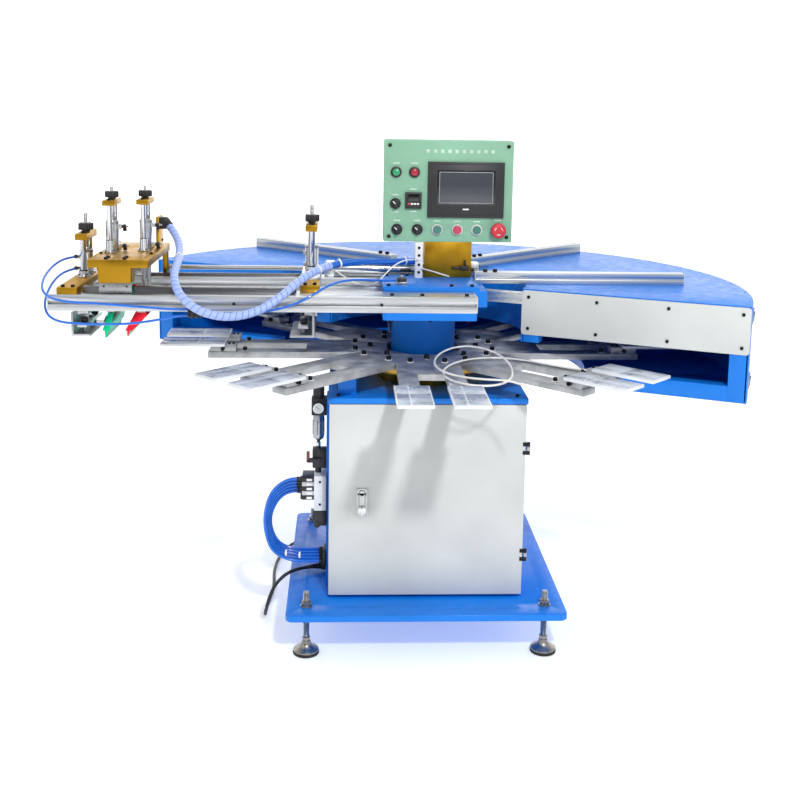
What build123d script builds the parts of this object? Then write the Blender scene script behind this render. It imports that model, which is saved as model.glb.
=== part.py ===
from build123d import *
from math import cos, degrees, radians, sin, tan
import os

# An eight-station screen printing carousel with a drying tunnel, in millimetres.
# The origin is on the floor under the carousel's axis. +X runs to the drying tunnel, -X to the
# print head, -Y to the operator and +Z up.

os.makedirs("parts", exist_ok=True)

# ---------------------------------------------------------------- driving dimensions
PLATE_SIZE = 700
PLATE_T = 16
PLATE_TOP = 125
FOOT_X, FOOT_Y = 300, 290
STUD_R = 8

CAB = 248                      # half width of the cabinet
CAB_FRONT, CAB_BACK = -234, 248
CAB_TOP = 634
TUBE = 30
TOP_T = 14
TOP_SIZE, TOP_HOLE_R = 500, 120
DECK = CAB_TOP + TOP_T         # upper face of the cabinet's top plate
DOOR_T = 16
DOOR_HALF = 246
HINGE_X, HINGE_Y = 252.8, -249
HINGE_R, PIN_R = 4.5, 2.2
KNUCKLE, HINGE_HALF = 5.8, 16  # half heights of a hinge's middle knuckle and of the whole hinge
HINGE_HEIGHTS = (240, 520)
LOCK_X, LOCK_Z = -163, 381

STATIONS = 8
PITCH = 360 / STATIONS
DISC_Z, DISC_T, DISC_R = 693, 16, 205
ARM_Z, ARM_T = 709, 16
ARM_TOP = ARM_Z + ARM_T
ARM_HALF = 81
FORK_R, ARM_R = 312, 565
PRONG = 47
PLATEN_IN, PLATEN_OUT = 519, 685
PLATEN_SIDE, PLATEN_W, PLATEN_T = 60, 80, 8
SPACER = 18                    # height of a platen's bracket
PLATEN_Z = ARM_TOP + SPACER

COLUMN_R, SPIGOT_R = 85, 80
FIT = 0.05                     # radial clearance of a running fit
HEAD_Z, RAIL_Z, RAIL_H = 844, 863, 40
RAIL_TOP = RAIL_Z + RAIL_H
RAIL_LEFT, RAIL_RIGHT = -926, 114
FRONT_RAIL = (-250, -170)
REAR_RAIL = (45, 105)
BLOCK_TOP = 904

TUNNEL_IN, TUNNEL_OUT = 272, 840
TUNNEL_START, TUNNEL_END = -25, 155
TUNNEL_BASE, TUNNEL_TOP = 665, 904
FLOOR_IN, CURB = 430, 25       # inner radius of the tunnel's floor and height of its curb
WALL_SWEEP, FLOOR_SWEEP = 10, 20  # sweeps of the tunnel's bent panels
SHEET = 3
SEAM = 0.02                    # gap at a seam between fastened pieces
POST = 40
HOOD_EDGE = 785                # lower edge of the hood over the passing platens

PANEL = (-110, 231, 1009, 1277)  # left, right, bottom and top of the control box
BOX_D = 80


# ---------------------------------------------------------------- helpers
def block(x0, x1, y0, y1, z0, z1, mode=Mode.ADD):
    """Add or cut a box given by its faces."""
    with Locations(((x0 + x1) / 2, (y0 + y1) / 2, (z0 + z1) / 2)):
        Box(x1 - x0, y1 - y0, z1 - z0, mode=mode)


def upright(x, y, z0, z1, radius, mode=Mode.ADD):
    """Add or cut a vertical cylinder."""
    with Locations((x, y, (z0 + z1) / 2)):
        Cylinder(radius, z1 - z0, mode=mode)


def along_y(x, z, y0, y1, radius, mode=Mode.ADD):
    """Add or cut a cylinder that runs front to back."""
    with Locations((x, (y0 + y1) / 2, z)):
        Cylinder(radius, y1 - y0, rotation=(90, 0, 0), mode=mode)


def along_x(y, z, x0, x1, radius, mode=Mode.ADD):
    """Add or cut a cylinder that runs left to right."""
    with Locations(((x0 + x1) / 2, y, z)):
        Cylinder(radius, x1 - x0, rotation=(0, 90, 0), mode=mode)


def polar(radius, angle):
    """Give the point at a radius and an angle in degrees."""
    return (radius * cos(radians(angle)), radius * sin(radians(angle)))


def ring_sector(r_in, r_out, z0, z1, start=TUNNEL_START, end=TUNNEL_END):
    """Add an upright sector of a ring."""
    with BuildSketch(Plane.XY.offset(z0)) as outline:
        with BuildLine():
            inner = CenterArc((0, 0), r_in, start, end - start)
            outer = CenterArc((0, 0), r_out, start, end - start)
            Line(inner @ 0, outer @ 0)
            Line(inner @ 1, outer @ 1)
        make_face()
    extrude(outline.sketch, amount=z1 - z0)


def panels(r_in, r_out, z0, z1, sweep):
    """Add the tunnel's bent panels between two radii, one beside the other."""
    edge = degrees(SEAM / r_in)
    for start in range(TUNNEL_START, TUNNEL_END, sweep):
        ring_sector(r_in, r_out, z0, z1, start + edge, start + sweep)


def bar_on_ray(angle, r0, r1, t0, t1, z0, z1):
    """Add a bar along a ray from the axis; t is its offset to the left of the ray."""
    along = Plane((0, 0, z0), x_dir=(*polar(1, angle), 0), z_dir=(0, 0, 1))
    with BuildSketch(along) as outline:
        with Locations(((r0 + r1) / 2, (t0 + t1) / 2)):
            Rectangle(r1 - r0, t1 - t0)
    extrude(outline.sketch, amount=z1 - z0)


def profile_bar(start, end, size, z0, slot=8):
    """Add a slotted aluminium bar from one plan point to another."""
    run = Vector(*end) - Vector(*start)
    across = Plane((*start, z0), x_dir=(-run.Y, run.X, 0), z_dir=(run.X, run.Y, 0))
    with BuildSketch(across) as section:
        with Locations((0, -size / 2)):
            Rectangle(size, size)
            for turn in range(4):
                x, y = polar(size / 2, 90 * turn)
                with Locations((x, y)):
                    Rectangle(slot, slot, mode=Mode.SUBTRACT)
    extrude(section.sketch, amount=run.length)


def star_knob(x, y, z0, height, radius, bore):
    """Add a five-lobed knob around a threaded rod."""
    with BuildSketch(Plane.XY.offset(z0)) as lobes:
        with Locations((x, y)):
            Circle(radius * 0.78)
            with PolarLocations(radius * 0.72, 5):
                Circle(radius * 0.28)
            Circle(bore, mode=Mode.SUBTRACT)
    extrude(lobes.sketch, amount=height)
    with BuildSketch(Plane.XY.offset(z0 - 4)) as neck:
        with Locations((x, y)):
            Circle(radius * 0.5)
            Circle(bore, mode=Mode.SUBTRACT)
    extrude(neck.sketch, amount=4)


def arc_radii(points):
    """Give each corner's radius: 0.45 of the shorter run over the tangent of half the turn."""
    radii = []
    for before, corner, after in zip(points, points[1:], points[2:]):
        run_in = Vector(*corner) - Vector(*before)
        run_out = Vector(*after) - Vector(*corner)
        turn = run_in.get_angle(run_out)
        radii.append(0.45 * min(run_in.length, run_out.length) / tan(radians(turn / 2)))
    return radii


def hose(name, points, diameter):
    """Add a round hose: straight runs joined by tangent arcs."""
    radii = arc_radii(points)
    with BuildLine():
        route = FilletPolyline(*points, radius=radii)
    with BuildSketch(Plane(route @ 0, z_dir=route % 0)) as section:
        Circle(diameter / 2)
    sweep(section.sketch, path=route)
    print(f"{name}: length {route.length:.0f}, radii {[round(r) for r in radii]}")


# ---------------------------------------------------------------- base and cabinet
with BuildPart() as base_plate:
    with BuildSketch(Plane.XY.offset(PLATE_TOP - PLATE_T)):
        RectangleRounded(PLATE_SIZE, PLATE_SIZE, 20)
        with GridLocations(2 * FOOT_X, 2 * FOOT_Y, 2, 2):
            Circle(STUD_R + 0.5, mode=Mode.SUBTRACT)
    extrude(amount=PLATE_T)
    chamfer(base_plate.faces().sort_by(Axis.Z)[-1].outer_wire().edges(), 1.5)
base_plate.part.label = "base_plate"
export_step(base_plate.part, "parts/base_plate.step")

with BuildPart() as levelling_feet:
    for foot_x in (-FOOT_X, FOOT_X):
        for foot_y in (-FOOT_Y, FOOT_Y):
            upright(foot_x, foot_y, 0, 9, 33)
            with Locations((foot_x, foot_y, 21)):
                Cone(31, 11, 24)
            upright(foot_x, foot_y, 30, PLATE_TOP + 38, STUD_R)
    for nut_z in (PLATE_TOP - PLATE_T - 13, PLATE_TOP):
        with BuildSketch(Plane.XY.offset(nut_z)):
            with GridLocations(2 * FOOT_X, 2 * FOOT_Y, 2, 2):
                RegularPolygon(14, 6)
        extrude(amount=13)
levelling_feet.part.label = "levelling_feet"
export_step(levelling_feet.part, "parts/levelling_feet.step")

with BuildPart() as cabinet_frame:
    inner = CAB - TUBE
    block(-CAB, CAB, CAB_FRONT, CAB_BACK, PLATE_TOP, CAB_TOP)
    block(-inner, inner, -300, 300, PLATE_TOP + TUBE, CAB_TOP - TUBE, Mode.SUBTRACT)
    front, back = CAB_FRONT + TUBE, CAB_BACK - TUBE
    block(-300, 300, front, back, PLATE_TOP + TUBE, CAB_TOP - TUBE, Mode.SUBTRACT)
    block(-inner, inner, front, back, 100, 700, Mode.SUBTRACT)
    with BuildSketch(Plane.XY.offset(CAB_TOP + SEAM)):
        RectangleRounded(TOP_SIZE, TOP_SIZE, 4)
        Circle(TOP_HOLE_R, mode=Mode.SUBTRACT)
    extrude(amount=TOP_T - SEAM)
    block(-225, -180, -215, -175, DECK + SEAM, DECK + 40)
    along_x(-80, 140, -262, -CAB, 11)
    for hinge_z in HINGE_HEIGHTS:
        low, high = hinge_z - KNUCKLE, hinge_z + KNUCKLE
        block(CAB, CAB + 2, HINGE_Y, CAB_FRONT + 24, low, high)
        block(CAB, CAB + 2, CAB_FRONT, CAB_FRONT + 24, hinge_z - HINGE_HALF, hinge_z + HINGE_HALF)
        upright(HINGE_X, HINGE_Y, low, high, HINGE_R)
        upright(HINGE_X, HINGE_Y, low, high, PIN_R + FIT, Mode.SUBTRACT)
cabinet_frame.part.label = "cabinet_frame"
export_step(cabinet_frame.part, "parts/cabinet_frame.step")

with BuildPart() as cabinet_panels:
    block(CAB - 5, CAB - 3, CAB_FRONT + TUBE, CAB_BACK - TUBE, PLATE_TOP + TUBE, CAB_TOP - TUBE)
    block(TUBE - CAB, CAB - TUBE, CAB_BACK - 5, CAB_BACK - 3, PLATE_TOP + TUBE, CAB_TOP - TUBE)
cabinet_panels.part.label = "cabinet_panels"
export_step(cabinet_panels.part, "parts/cabinet_panels.step")

with BuildPart() as cabinet_door:
    door_front, door_back = CAB_FRONT - DOOR_T, CAB_FRONT
    block(-DOOR_HALF, DOOR_HALF, door_front, door_back - 0.3, 134, CAB_TOP - 2)
    hollow = DOOR_HALF - 2
    block(-hollow, hollow, door_front + 2, door_back + 1, 136, CAB_TOP - 4, Mode.SUBTRACT)
    block(LOCK_X - 12, LOCK_X + 12, -260, -240, LOCK_Z - 32, LOCK_Z + 32, Mode.SUBTRACT)
cabinet_door.part.label = "cabinet_door"
export_step(cabinet_door.part, "parts/cabinet_door.step")

with BuildPart() as door_hardware:
    for hinge_z in HINGE_HEIGHTS:
        for low, high in ((KNUCKLE + 0.2, HINGE_HALF), (-HINGE_HALF, -KNUCKLE - 0.2)):
            block(HINGE_X - 14, HINGE_X, HINGE_Y - 2.5, HINGE_Y - 1, hinge_z + low, hinge_z + high)
            upright(HINGE_X, HINGE_Y, hinge_z + low, hinge_z + high, HINGE_R)
        upright(HINGE_X, HINGE_Y, hinge_z - KNUCKLE - 2, hinge_z + KNUCKLE + 2, PIN_R)
    block(LOCK_X - 15, LOCK_X + 15, -253, -250, LOCK_Z - 35, LOCK_Z + 35)
    block(LOCK_X - 12, LOCK_X + 12, -250, -222, LOCK_Z - 32, LOCK_Z + 32)
    along_y(LOCK_X, LOCK_Z - 20, -253, -222, 5 + FIT, Mode.SUBTRACT)
door_hardware.part.label = "door_hardware"
export_step(door_hardware.part, "parts/door_hardware.step")

with BuildPart() as lock_lever:
    along_y(LOCK_X, LOCK_Z - 20, -259, -253.2, 10)
    block(LOCK_X - 2.5, LOCK_X + 2.5, -268, -259, LOCK_Z - 30, LOCK_Z - 10)
    along_y(LOCK_X, LOCK_Z - 20, -253.2, -196, 5)
    block(LOCK_X - 9, LOCK_X + 9, -202, -198, LOCK_Z - 88, LOCK_Z - 12)
lock_lever.part.label = "lock_lever"
export_step(lock_lever.part, "parts/lock_lever.step")

# ---------------------------------------------------------------- drive inside the cabinet
SHAFT_Z = 540
with BuildPart() as cam_indexer:
    block(-120, 120, -110, 110, 464, CAB_TOP)
    block(-140, 140, -130, 130, CAB_TOP - 14, CAB_TOP)
    upright(0, 0, CAB_TOP - 10, CAB_TOP + 10, SPIGOT_R, Mode.SUBTRACT)
    along_x(0, SHAFT_Z, 60, 130, 14 + FIT, Mode.SUBTRACT)
    along_x(0, SHAFT_Z, 110, 120, 30)
    along_x(0, SHAFT_Z, 60, 130, 14 + FIT, Mode.SUBTRACT)
cam_indexer.part.label = "cam_indexer"
export_step(cam_indexer.part, "parts/cam_indexer.step")

with BuildPart() as index_shaft:
    along_x(0, SHAFT_Z, 62, 186, 14)
    along_x(0, SHAFT_Z, 124, 146, 25)
index_shaft.part.label = "index_shaft"
export_step(index_shaft.part, "parts/index_shaft.step")

with BuildPart() as gear_motor:
    block(150, 212, -45, 45, 495, 585)
    block(120, 150, -45, -35, 500, 580)
    block(120, 150, 35, 45, 500, 580)
    along_y(182, SHAFT_Z, 45, 190, 46)
    along_y(182, SHAFT_Z, 178, 190, 49)
    along_x(0, SHAFT_Z, 149, 190, 14 + FIT, Mode.SUBTRACT)
gear_motor.part.label = "gear_motor"
export_step(gear_motor.part, "parts/gear_motor.step")

MODULES = ((-190, 120, 330, 85), (-55, 70, 330, 85), (30, 45, 320, 95), (90, 90, 320, 95))
with BuildPart() as electrics_tray:
    block(-205, 205, 214, 218, 175, 430)
    block(-CAB + TUBE, -205, 214, 218, 300, 320)
    block(205, CAB - TUBE, 214, 218, 300, 320)
    for x0, width, z0, height in MODULES:
        block(x0, x0 + width, 150, 214, z0, z0 + height)
    for relay in range(10):
        block(-185 + 30 * relay, -160 + 30 * relay, 165, 214, 200, 265)
electrics_tray.part.label = "electrics_tray"
export_step(electrics_tray.part, "parts/electrics_tray.step")

# ---------------------------------------------------------------- carousel
with BuildPart() as table_disc:
    with BuildSketch(Plane.XY.offset(DISC_Z)):
        Circle(DISC_R)
        Circle(SPIGOT_R + 2, mode=Mode.SUBTRACT)
    extrude(amount=DISC_T)
    with BuildSketch(Plane.XY.offset(CAB_TOP + 2)):
        Circle(118)
        Circle(SPIGOT_R + FIT, mode=Mode.SUBTRACT)
    extrude(amount=DISC_Z - CAB_TOP - 2)
table_disc.part.label = "table_disc"
export_step(table_disc.part, "parts/table_disc.step")

with BuildPart() as arms:
    root = 96
    slope = tan(radians(PITCH / 2))
    gap = 0.6
    with BuildSketch(Plane.XY.offset(ARM_Z)):
        for station in range(STATIONS):
            with Locations(Location((0, 0, 0), (0, 0, station * PITCH))):
                Polygon((root, -root * slope + gap), (root, root * slope - gap),
                        (ARM_HALF / slope, ARM_HALF - gap), (ARM_R, ARM_HALF),
                        (ARM_R, ARM_HALF - PRONG), (FORK_R, ARM_HALF - PRONG),
                        (FORK_R, PRONG - ARM_HALF), (ARM_R, PRONG - ARM_HALF),
                        (ARM_R, -ARM_HALF), (ARM_HALF / slope, gap - ARM_HALF), align=None)
    extrude(amount=ARM_T)
arms.part.label = "arms"
export_step(arms.part, "parts/arms.step")

with BuildPart() as arm_screws:
    for station in range(STATIONS):
        for side in (-13.5, 13.5):
            screw_x, screw_y = polar(187, station * PITCH + side)
            upright(screw_x, screw_y, ARM_TOP, ARM_TOP + 2, 9)
            upright(screw_x, screw_y, ARM_TOP + 2, ARM_TOP + 11, 6.5)
arm_screws.part.label = "arm_screws"
export_step(arm_screws.part, "parts/arm_screws.step")

with BuildPart() as platens:
    for station in range(STATIONS):
        for side in (-PLATEN_SIDE, PLATEN_SIDE):
            low, high = side - PLATEN_W / 2, side + PLATEN_W / 2
            bar_on_ray(station * PITCH, PLATEN_IN, PLATEN_OUT, low, high, PLATEN_Z, PLATEN_Z + PLATEN_T)
            bar_on_ray(station * PITCH, 492, 559, side - 22, side + 18, ARM_TOP, PLATEN_Z)
platens.part.label = "platens"
export_step(platens.part, "parts/platens.step")

# ---------------------------------------------------------------- column, head and rails
with BuildPart() as center_column:
    upright(0, 0, CAB_TOP - 10, 716, SPIGOT_R)
    upright(0, 0, 716, HEAD_Z, COLUMN_R)
    upright(0, 0, HEAD_Z - 6, HEAD_Z, COLUMN_R + 8)
center_column.part.label = "center_column"
export_step(center_column.part, "parts/center_column.step")

with BuildPart() as head_block:
    block(-117, 115, -250, 235, HEAD_Z, RAIL_Z)
    block(-110, 150, -165, 40, RAIL_Z, BLOCK_TOP)
    block(-100, 130, 110, 230, RAIL_Z, BLOCK_TOP)
    block(-115, 130, -165, 40, BLOCK_TOP, BLOCK_TOP + 10)
    block(-280, -100, 112, 142, 880, BLOCK_TOP)
    upright(0, 0, HEAD_Z, BLOCK_TOP + 10, TUNNEL_IN, Mode.INTERSECT)
head_block.part.label = "head_block"
export_step(head_block.part, "parts/head_block.step")

GUIDE_LEFT, GUIDE_RIGHT = -848, -330
GUIDES = ((-210, 20, 15), (54, 12, 9))   # centre, width and height of each guide rail
with BuildPart() as print_rails:
    for y0, y1 in (FRONT_RAIL, REAR_RAIL):
        with BuildSketch(Plane.YZ.offset(RAIL_LEFT)):
            with Locations(((y0 + y1) / 2, RAIL_Z + RAIL_H / 2)):
                Rectangle(y1 - y0, RAIL_H)
            for face_y in (y0, y1):
                with Locations((face_y, RAIL_Z + RAIL_H / 2)):
                    Rectangle(12, 8, mode=Mode.SUBTRACT)
                with Locations((face_y + (9 if face_y == y0 else -9), RAIL_Z + RAIL_H / 2)):
                    Rectangle(6, 18, mode=Mode.SUBTRACT)
        extrude(amount=RAIL_RIGHT - RAIL_LEFT)
    for y, width, height in GUIDES:
        block(GUIDE_LEFT, GUIDE_RIGHT, y - width / 2, y + width / 2, RAIL_TOP, RAIL_TOP + height)
print_rails.part.label = "print_rails"
export_step(print_rails.part, "parts/print_rails.step")

ROD_Y, ROD_Z = 82, 923
with BuildPart() as stroke_cylinder:
    block(-262, -240, ROD_Y - 20, ROD_Y + 20, RAIL_TOP, RAIL_TOP + 40)
    block(130, 153, ROD_Y - 20, ROD_Y + 20, RAIL_TOP, RAIL_TOP + 40)
    along_x(ROD_Y, ROD_Z, -240, 130, 18)
    along_x(ROD_Y, ROD_Z, -240, 130, 15, Mode.SUBTRACT)
    along_x(ROD_Y, ROD_Z, -270, -239, 6 + FIT, Mode.SUBTRACT)
stroke_cylinder.part.label = "stroke_cylinder"
export_step(stroke_cylinder.part, "parts/stroke_cylinder.step")

with BuildPart() as stroke_rod:
    along_x(ROD_Y, ROD_Z, -690, -236, 6)
    along_x(ROD_Y, ROD_Z, -236, -222, 15 - FIT)
stroke_rod.part.label = "stroke_rod"
export_step(stroke_rod.part, "parts/stroke_rod.step")

# ---------------------------------------------------------------- drying tunnel
with BuildPart() as tunnel_roof:
    ring_sector(TUNNEL_IN, TUNNEL_OUT, TUNNEL_TOP - SHEET, TUNNEL_TOP)
tunnel_roof.part.label = "tunnel_roof"
export_step(tunnel_roof.part, "parts/tunnel_roof.step")

with BuildPart() as tunnel_walls:
    panels(TUNNEL_OUT - SHEET, TUNNEL_OUT, TUNNEL_BASE, TUNNEL_TOP - SHEET, WALL_SWEEP)
    panels(TUNNEL_IN, TUNNEL_IN + SHEET, HOOD_EDGE - 20, TUNNEL_TOP - SHEET, WALL_SWEEP)
tunnel_walls.part.label = "tunnel_walls"
export_step(tunnel_walls.part, "parts/tunnel_walls.step")

with BuildPart() as tunnel_floor:
    curb_z = TUNNEL_BASE + SHEET + SEAM
    panels(FLOOR_IN, TUNNEL_OUT - SHEET, TUNNEL_BASE, TUNNEL_BASE + SHEET, FLOOR_SWEEP)
    panels(FLOOR_IN, FLOOR_IN + SHEET, curb_z, TUNNEL_BASE + CURB, FLOOR_SWEEP)
    inside = TUNNEL_OUT - SHEET
    for angle, t0 in ((TUNNEL_START, 0.2), (TUNNEL_END, -POST - 0.2)):
        t1 = t0 + POST
        low, high = TUNNEL_BASE + SHEET + SEAM, TUNNEL_TOP - SHEET
        post_in, post_out = TUNNEL_IN + POST + 6, inside - POST - 3
        bar_on_ray(angle, post_out, post_out + POST, t0, t1, low, high)
        bar_on_ray(angle, 440, post_out - SEAM, t0, t1, low, low + 36)
        bar_on_ray(angle, post_in - POST, post_in, t0, t1, HOOD_EDGE - 20, high)
        bar_on_ray(angle, post_in + SEAM, post_out - SEAM, t0, t1, high - POST, high)
tunnel_floor.part.label = "tunnel_floor"
export_step(tunnel_floor.part, "parts/tunnel_floor.step")

with BuildPart() as tunnel_cover:
    outwards = (*polar(1, TUNNEL_START), 0)
    off_the_end = (*polar(1, TUNNEL_START - 90), 0)
    with BuildSketch(Plane((0, 0, 0), x_dir=outwards, z_dir=off_the_end)):
        with Locations(((TUNNEL_IN + TUNNEL_OUT) / 2, (HOOD_EDGE + TUNNEL_TOP - SHEET) / 2)):
            RectangleRounded(TUNNEL_OUT - TUNNEL_IN, TUNNEL_TOP - SHEET - HOOD_EDGE, 8)
    extrude(amount=SHEET)
tunnel_cover.part.label = "tunnel_cover"
export_step(tunnel_cover.part, "parts/tunnel_cover.step")

HEATER_Z, REFLECTOR_Z = 838, 862
with BuildPart() as heater_bank:
    for angle in range(TUNNEL_START + 25, TUNNEL_END - 10, 25):
        bar_on_ray(angle, 460, 760, -26, 26, REFLECTOR_Z, REFLECTOR_Z + SHEET)
        for r_clip in (480, 735):
            bar_on_ray(angle, r_clip, r_clip + 5, -14, 14, HEATER_Z, REFLECTOR_Z - SEAM)
            hanger_z = REFLECTOR_Z + SHEET + SEAM
            bar_on_ray(angle, r_clip, r_clip + 5, -6, 6, hanger_z, TUNNEL_TOP - SHEET)
        tube_x, tube_y = polar(470, angle)
        with BuildSketch(Plane((tube_x, tube_y, HEATER_Z), z_dir=(*polar(1, angle), 0))):
            Circle(7)
        extrude(amount=280)
heater_bank.part.label = "heater_bank"
export_step(heater_bank.part, "parts/heater_bank.step")

with BuildPart() as roof_struts:
    profile_bar((156.5, -60), (262, -109), 28, 892)
    upright(0, 0, RAIL_Z, BLOCK_TOP, TUNNEL_IN, Mode.INTERSECT)
    profile_bar((-69, 286), (-487, 667), 30, TUNNEL_TOP + 30)
    profile_bar((144, 245), (534, 609), 30, TUNNEL_TOP + 30)
    profile_bar((134, -25), (690, -25), 30, TUNNEL_TOP + 30)
    block(-100, 130, 112, 276, BLOCK_TOP, BLOCK_TOP + 6)
roof_struts.part.label = "roof_struts"
export_step(roof_struts.part, "parts/roof_struts.step")

# ---------------------------------------------------------------- control box
with BuildPart() as control_bracket:
    block(0, 125, 0, 60, BLOCK_TOP + 10, BLOCK_TOP + 16)
    block(0, 125, 0, 8, BLOCK_TOP + 16, PANEL[2] - 6)
    block(0, 125, 0, 60, PANEL[2] - 6, PANEL[2])
    for side_x in (0, 119):
        block(side_x, side_x + 6, 8, 60, BLOCK_TOP + 16, PANEL[2] - 6)
    block(-26, -6, -20, 14, BLOCK_TOP + 10, PANEL[2])
control_bracket.part.label = "control_bracket"
export_step(control_bracket.part, "parts/control_bracket.step")

STEM_R = 6
COLLAR_R = 14.5
BUTTONS = {"green_button_left": 32, "red_button": 85, "green_button_right": 137}
BUTTON_Z = 1042
STOP_X = 193
SELECTORS = {"selector_upper": (-80, 1110), "selector_left": (-75, 1042), "selector_right": (-21, 1042)}
LAMPS = ((-79, 1193), (-31, 1193))

with BuildPart() as control_box:
    left, right, bottom, top = PANEL
    block(left, right, 0, BOX_D, bottom, top)
    fillet(control_box.edges().filter_by(Axis.Y), 4)
    block(left + 3, right - 3, 3, BOX_D - 3, bottom + 3, top - 3, Mode.SUBTRACT)
    for stem_x, stem_z in [(x, BUTTON_Z) for x in BUTTONS.values()] + list(SELECTORS.values()):
        along_y(stem_x, stem_z, -1, 4, STEM_R + 0.1, Mode.SUBTRACT)
    along_y(STOP_X, BUTTON_Z, -1, 4, 8.1, Mode.SUBTRACT)
control_box.part.label = "control_box"
export_step(control_box.part, "parts/control_box.step")

with BuildPart() as panel_fittings:
    for ring_x, ring_z in [(x, BUTTON_Z) for x in BUTTONS.values()] + list(SELECTORS.values()):
        along_y(ring_x, ring_z, -6, 0, COLLAR_R)
        along_y(ring_x, ring_z, -7, 1, 11.3, Mode.SUBTRACT)
    along_y(STOP_X, BUTTON_Z, -7, 0, 15)
    along_y(STOP_X, BUTTON_Z, -8, 1, 8.1, Mode.SUBTRACT)
    for lamp_x, lamp_z in LAMPS:
        along_y(lamp_x, lamp_z, -6, 0, COLLAR_R)
        along_y(lamp_x, lamp_z, -12, -6, 10)
    block(5, 207, -8, 0, 1074, 1221)
    block(30, 182, -9, -6.5, 1109, 1199, Mode.SUBTRACT)
    block(-54, -11, -9, 0, 1097, 1140)
    block(-48, -17, -10, -7, 1108, 1129, Mode.SUBTRACT)
    for screw_x in (left + 14, right - 14):
        for screw_z in (bottom + 14, top - 14):
            along_y(screw_x, screw_z, -3, 0, 5)
panel_fittings.part.label = "panel_fittings"
export_step(panel_fittings.part, "parts/panel_fittings.step")

for button_name, button_x in BUTTONS.items():
    with BuildPart() as button:
        along_y(button_x, BUTTON_Z, -12, -4, 11)
        along_y(button_x, BUTTON_Z, -4, 24, STEM_R)
    button.part.label = button_name
    export_step(button.part, f"parts/{button_name}.step")

with BuildPart() as emergency_stop:
    along_y(STOP_X, BUTTON_Z, -26, -12, 20)
    fillet(emergency_stop.edges().group_by(Axis.Y)[0], 5)
    along_y(STOP_X, BUTTON_Z, -12, 28, 8)
emergency_stop.part.label = "emergency_stop"
export_step(emergency_stop.part, "parts/emergency_stop.step")

for selector_name, (selector_x, selector_z) in SELECTORS.items():
    with BuildPart() as selector:
        along_y(selector_x, selector_z, -9, -1, 11)
        along_y(selector_x, selector_z, -1, 24, STEM_R)
        block(selector_x - 3.5, selector_x + 3.5, -20, -9, selector_z - 10.5, selector_z + 10.5)
    selector.part.label = selector_name
    export_step(selector.part, f"parts/{selector_name}.step")

# ---------------------------------------------------------------- screen lifts
LIFT_MID = -35
LIFT_POSTS = (-70, 0)
LIFT_POST_R = 8
LIFTS = {
    "left": dict(x=-880, front=-250, base=920, bridge=1015, clamp_wall=-897, shelf=(-897, -850)),
    "right": dict(x=-298, front=-190, base=936, bridge=1043, clamp_wall=-293, shelf=(-349, -287)),
}
SHELF_Z = 778

with BuildPart() as screen_lift_bases:
    for side in LIFTS.values():
        x, base = side["x"], side["base"]
        block(x - 24, x + 24, side["front"], 60, RAIL_TOP, RAIL_TOP + 17)
        if base > RAIL_TOP + 17:
            block(x - 24, x + 24, -92, 22, RAIL_TOP + 17, base)
        upright(x, LIFT_MID, base, base + 65, 17)
        for post_y in LIFT_POSTS:
            upright(x, post_y, base, base + 4, 17)
            upright(x, post_y, base + 4, base + 14, 12)
            upright(x, post_y, RAIL_TOP - 1, base + 15, LIFT_POST_R + FIT, Mode.SUBTRACT)
        upright(x, LIFT_MID, base + 12, base + 66, 6 + FIT, Mode.SUBTRACT)
        block(x - 22, x - 16, LIFT_MID - 5, LIFT_MID + 5, base + 10, base + 20)
        block(x - 22, x - 16, LIFT_MID - 5, LIFT_MID + 5, base + 40, base + 50)
screen_lift_bases.part.label = "screen_lift_bases"
export_step(screen_lift_bases.part, "parts/screen_lift_bases.step")

for side_name, side in LIFTS.items():
    x, base, bridge = side["x"], side["base"], side["bridge"]
    with BuildPart() as screen_lift:
        for post_y in LIFT_POSTS:
            upright(x, post_y, 841, bridge, LIFT_POST_R)
        upright(x, LIFT_MID, base + 15, bridge, 6)
        block(x - 15, x + 15, -92, 22, bridge, bridge + 16)
        upright(x, LIFT_MID, bridge + 16, bridge + 64, 5)
        wall = side["clamp_wall"]
        block(min(wall, x - 16), max(wall + 6, x + 16), -100, 30, 825, 841)
        block(wall, wall + 6, -147, 42, SHELF_Z, 841)
        block(side["shelf"][0], side["shelf"][1], -147, 42, SHELF_Z, SHELF_Z + 6)
        clamp_x = sum(side["shelf"]) / 2
        block(clamp_x - 10, clamp_x + 14, -140, 36, SHELF_Z + 22, SHELF_Z + 30)
        for screw_y in (-110, 6):
            upright(clamp_x + 2, screw_y, SHELF_Z + 6, SHELF_Z + 44, 4)
    screen_lift.part.label = f"{side_name}_screen_lift"
    export_step(screen_lift.part, f"parts/{side_name}_screen_lift.step")

    with BuildPart() as lift_knob:
        star_knob(x, LIFT_MID, bridge + 21, 18, 20, 5 + FIT)
    lift_knob.part.label = f"{side_name}_lift_knob"
    export_step(lift_knob.part, f"parts/{side_name}_lift_knob.step")

# ---------------------------------------------------------------- print carriage
SADDLE_Z, SADDLE_TOP = 967, 987
HEADS = {
    "squeegee": dict(x=-804, mid=-75),
    "flood": dict(x=-727, mid=-35),
}
POST_R = 6
with BuildPart() as guide_blocks:
    for (y, width, height), (x0, x1, half) in zip(GUIDES, ((-807, -728, 22), (-795, -740, 12))):
        block(x0, x1, y - half, y + half, RAIL_TOP + 2, 930)
        block(x0 - 1, x1 + 1, y - width / 2 - 0.1, y + width / 2 + 0.1, RAIL_TOP, RAIL_TOP + height + 0.2,
              Mode.SUBTRACT)
guide_blocks.part.label = "guide_blocks"
export_step(guide_blocks.part, "parts/guide_blocks.step")

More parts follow.
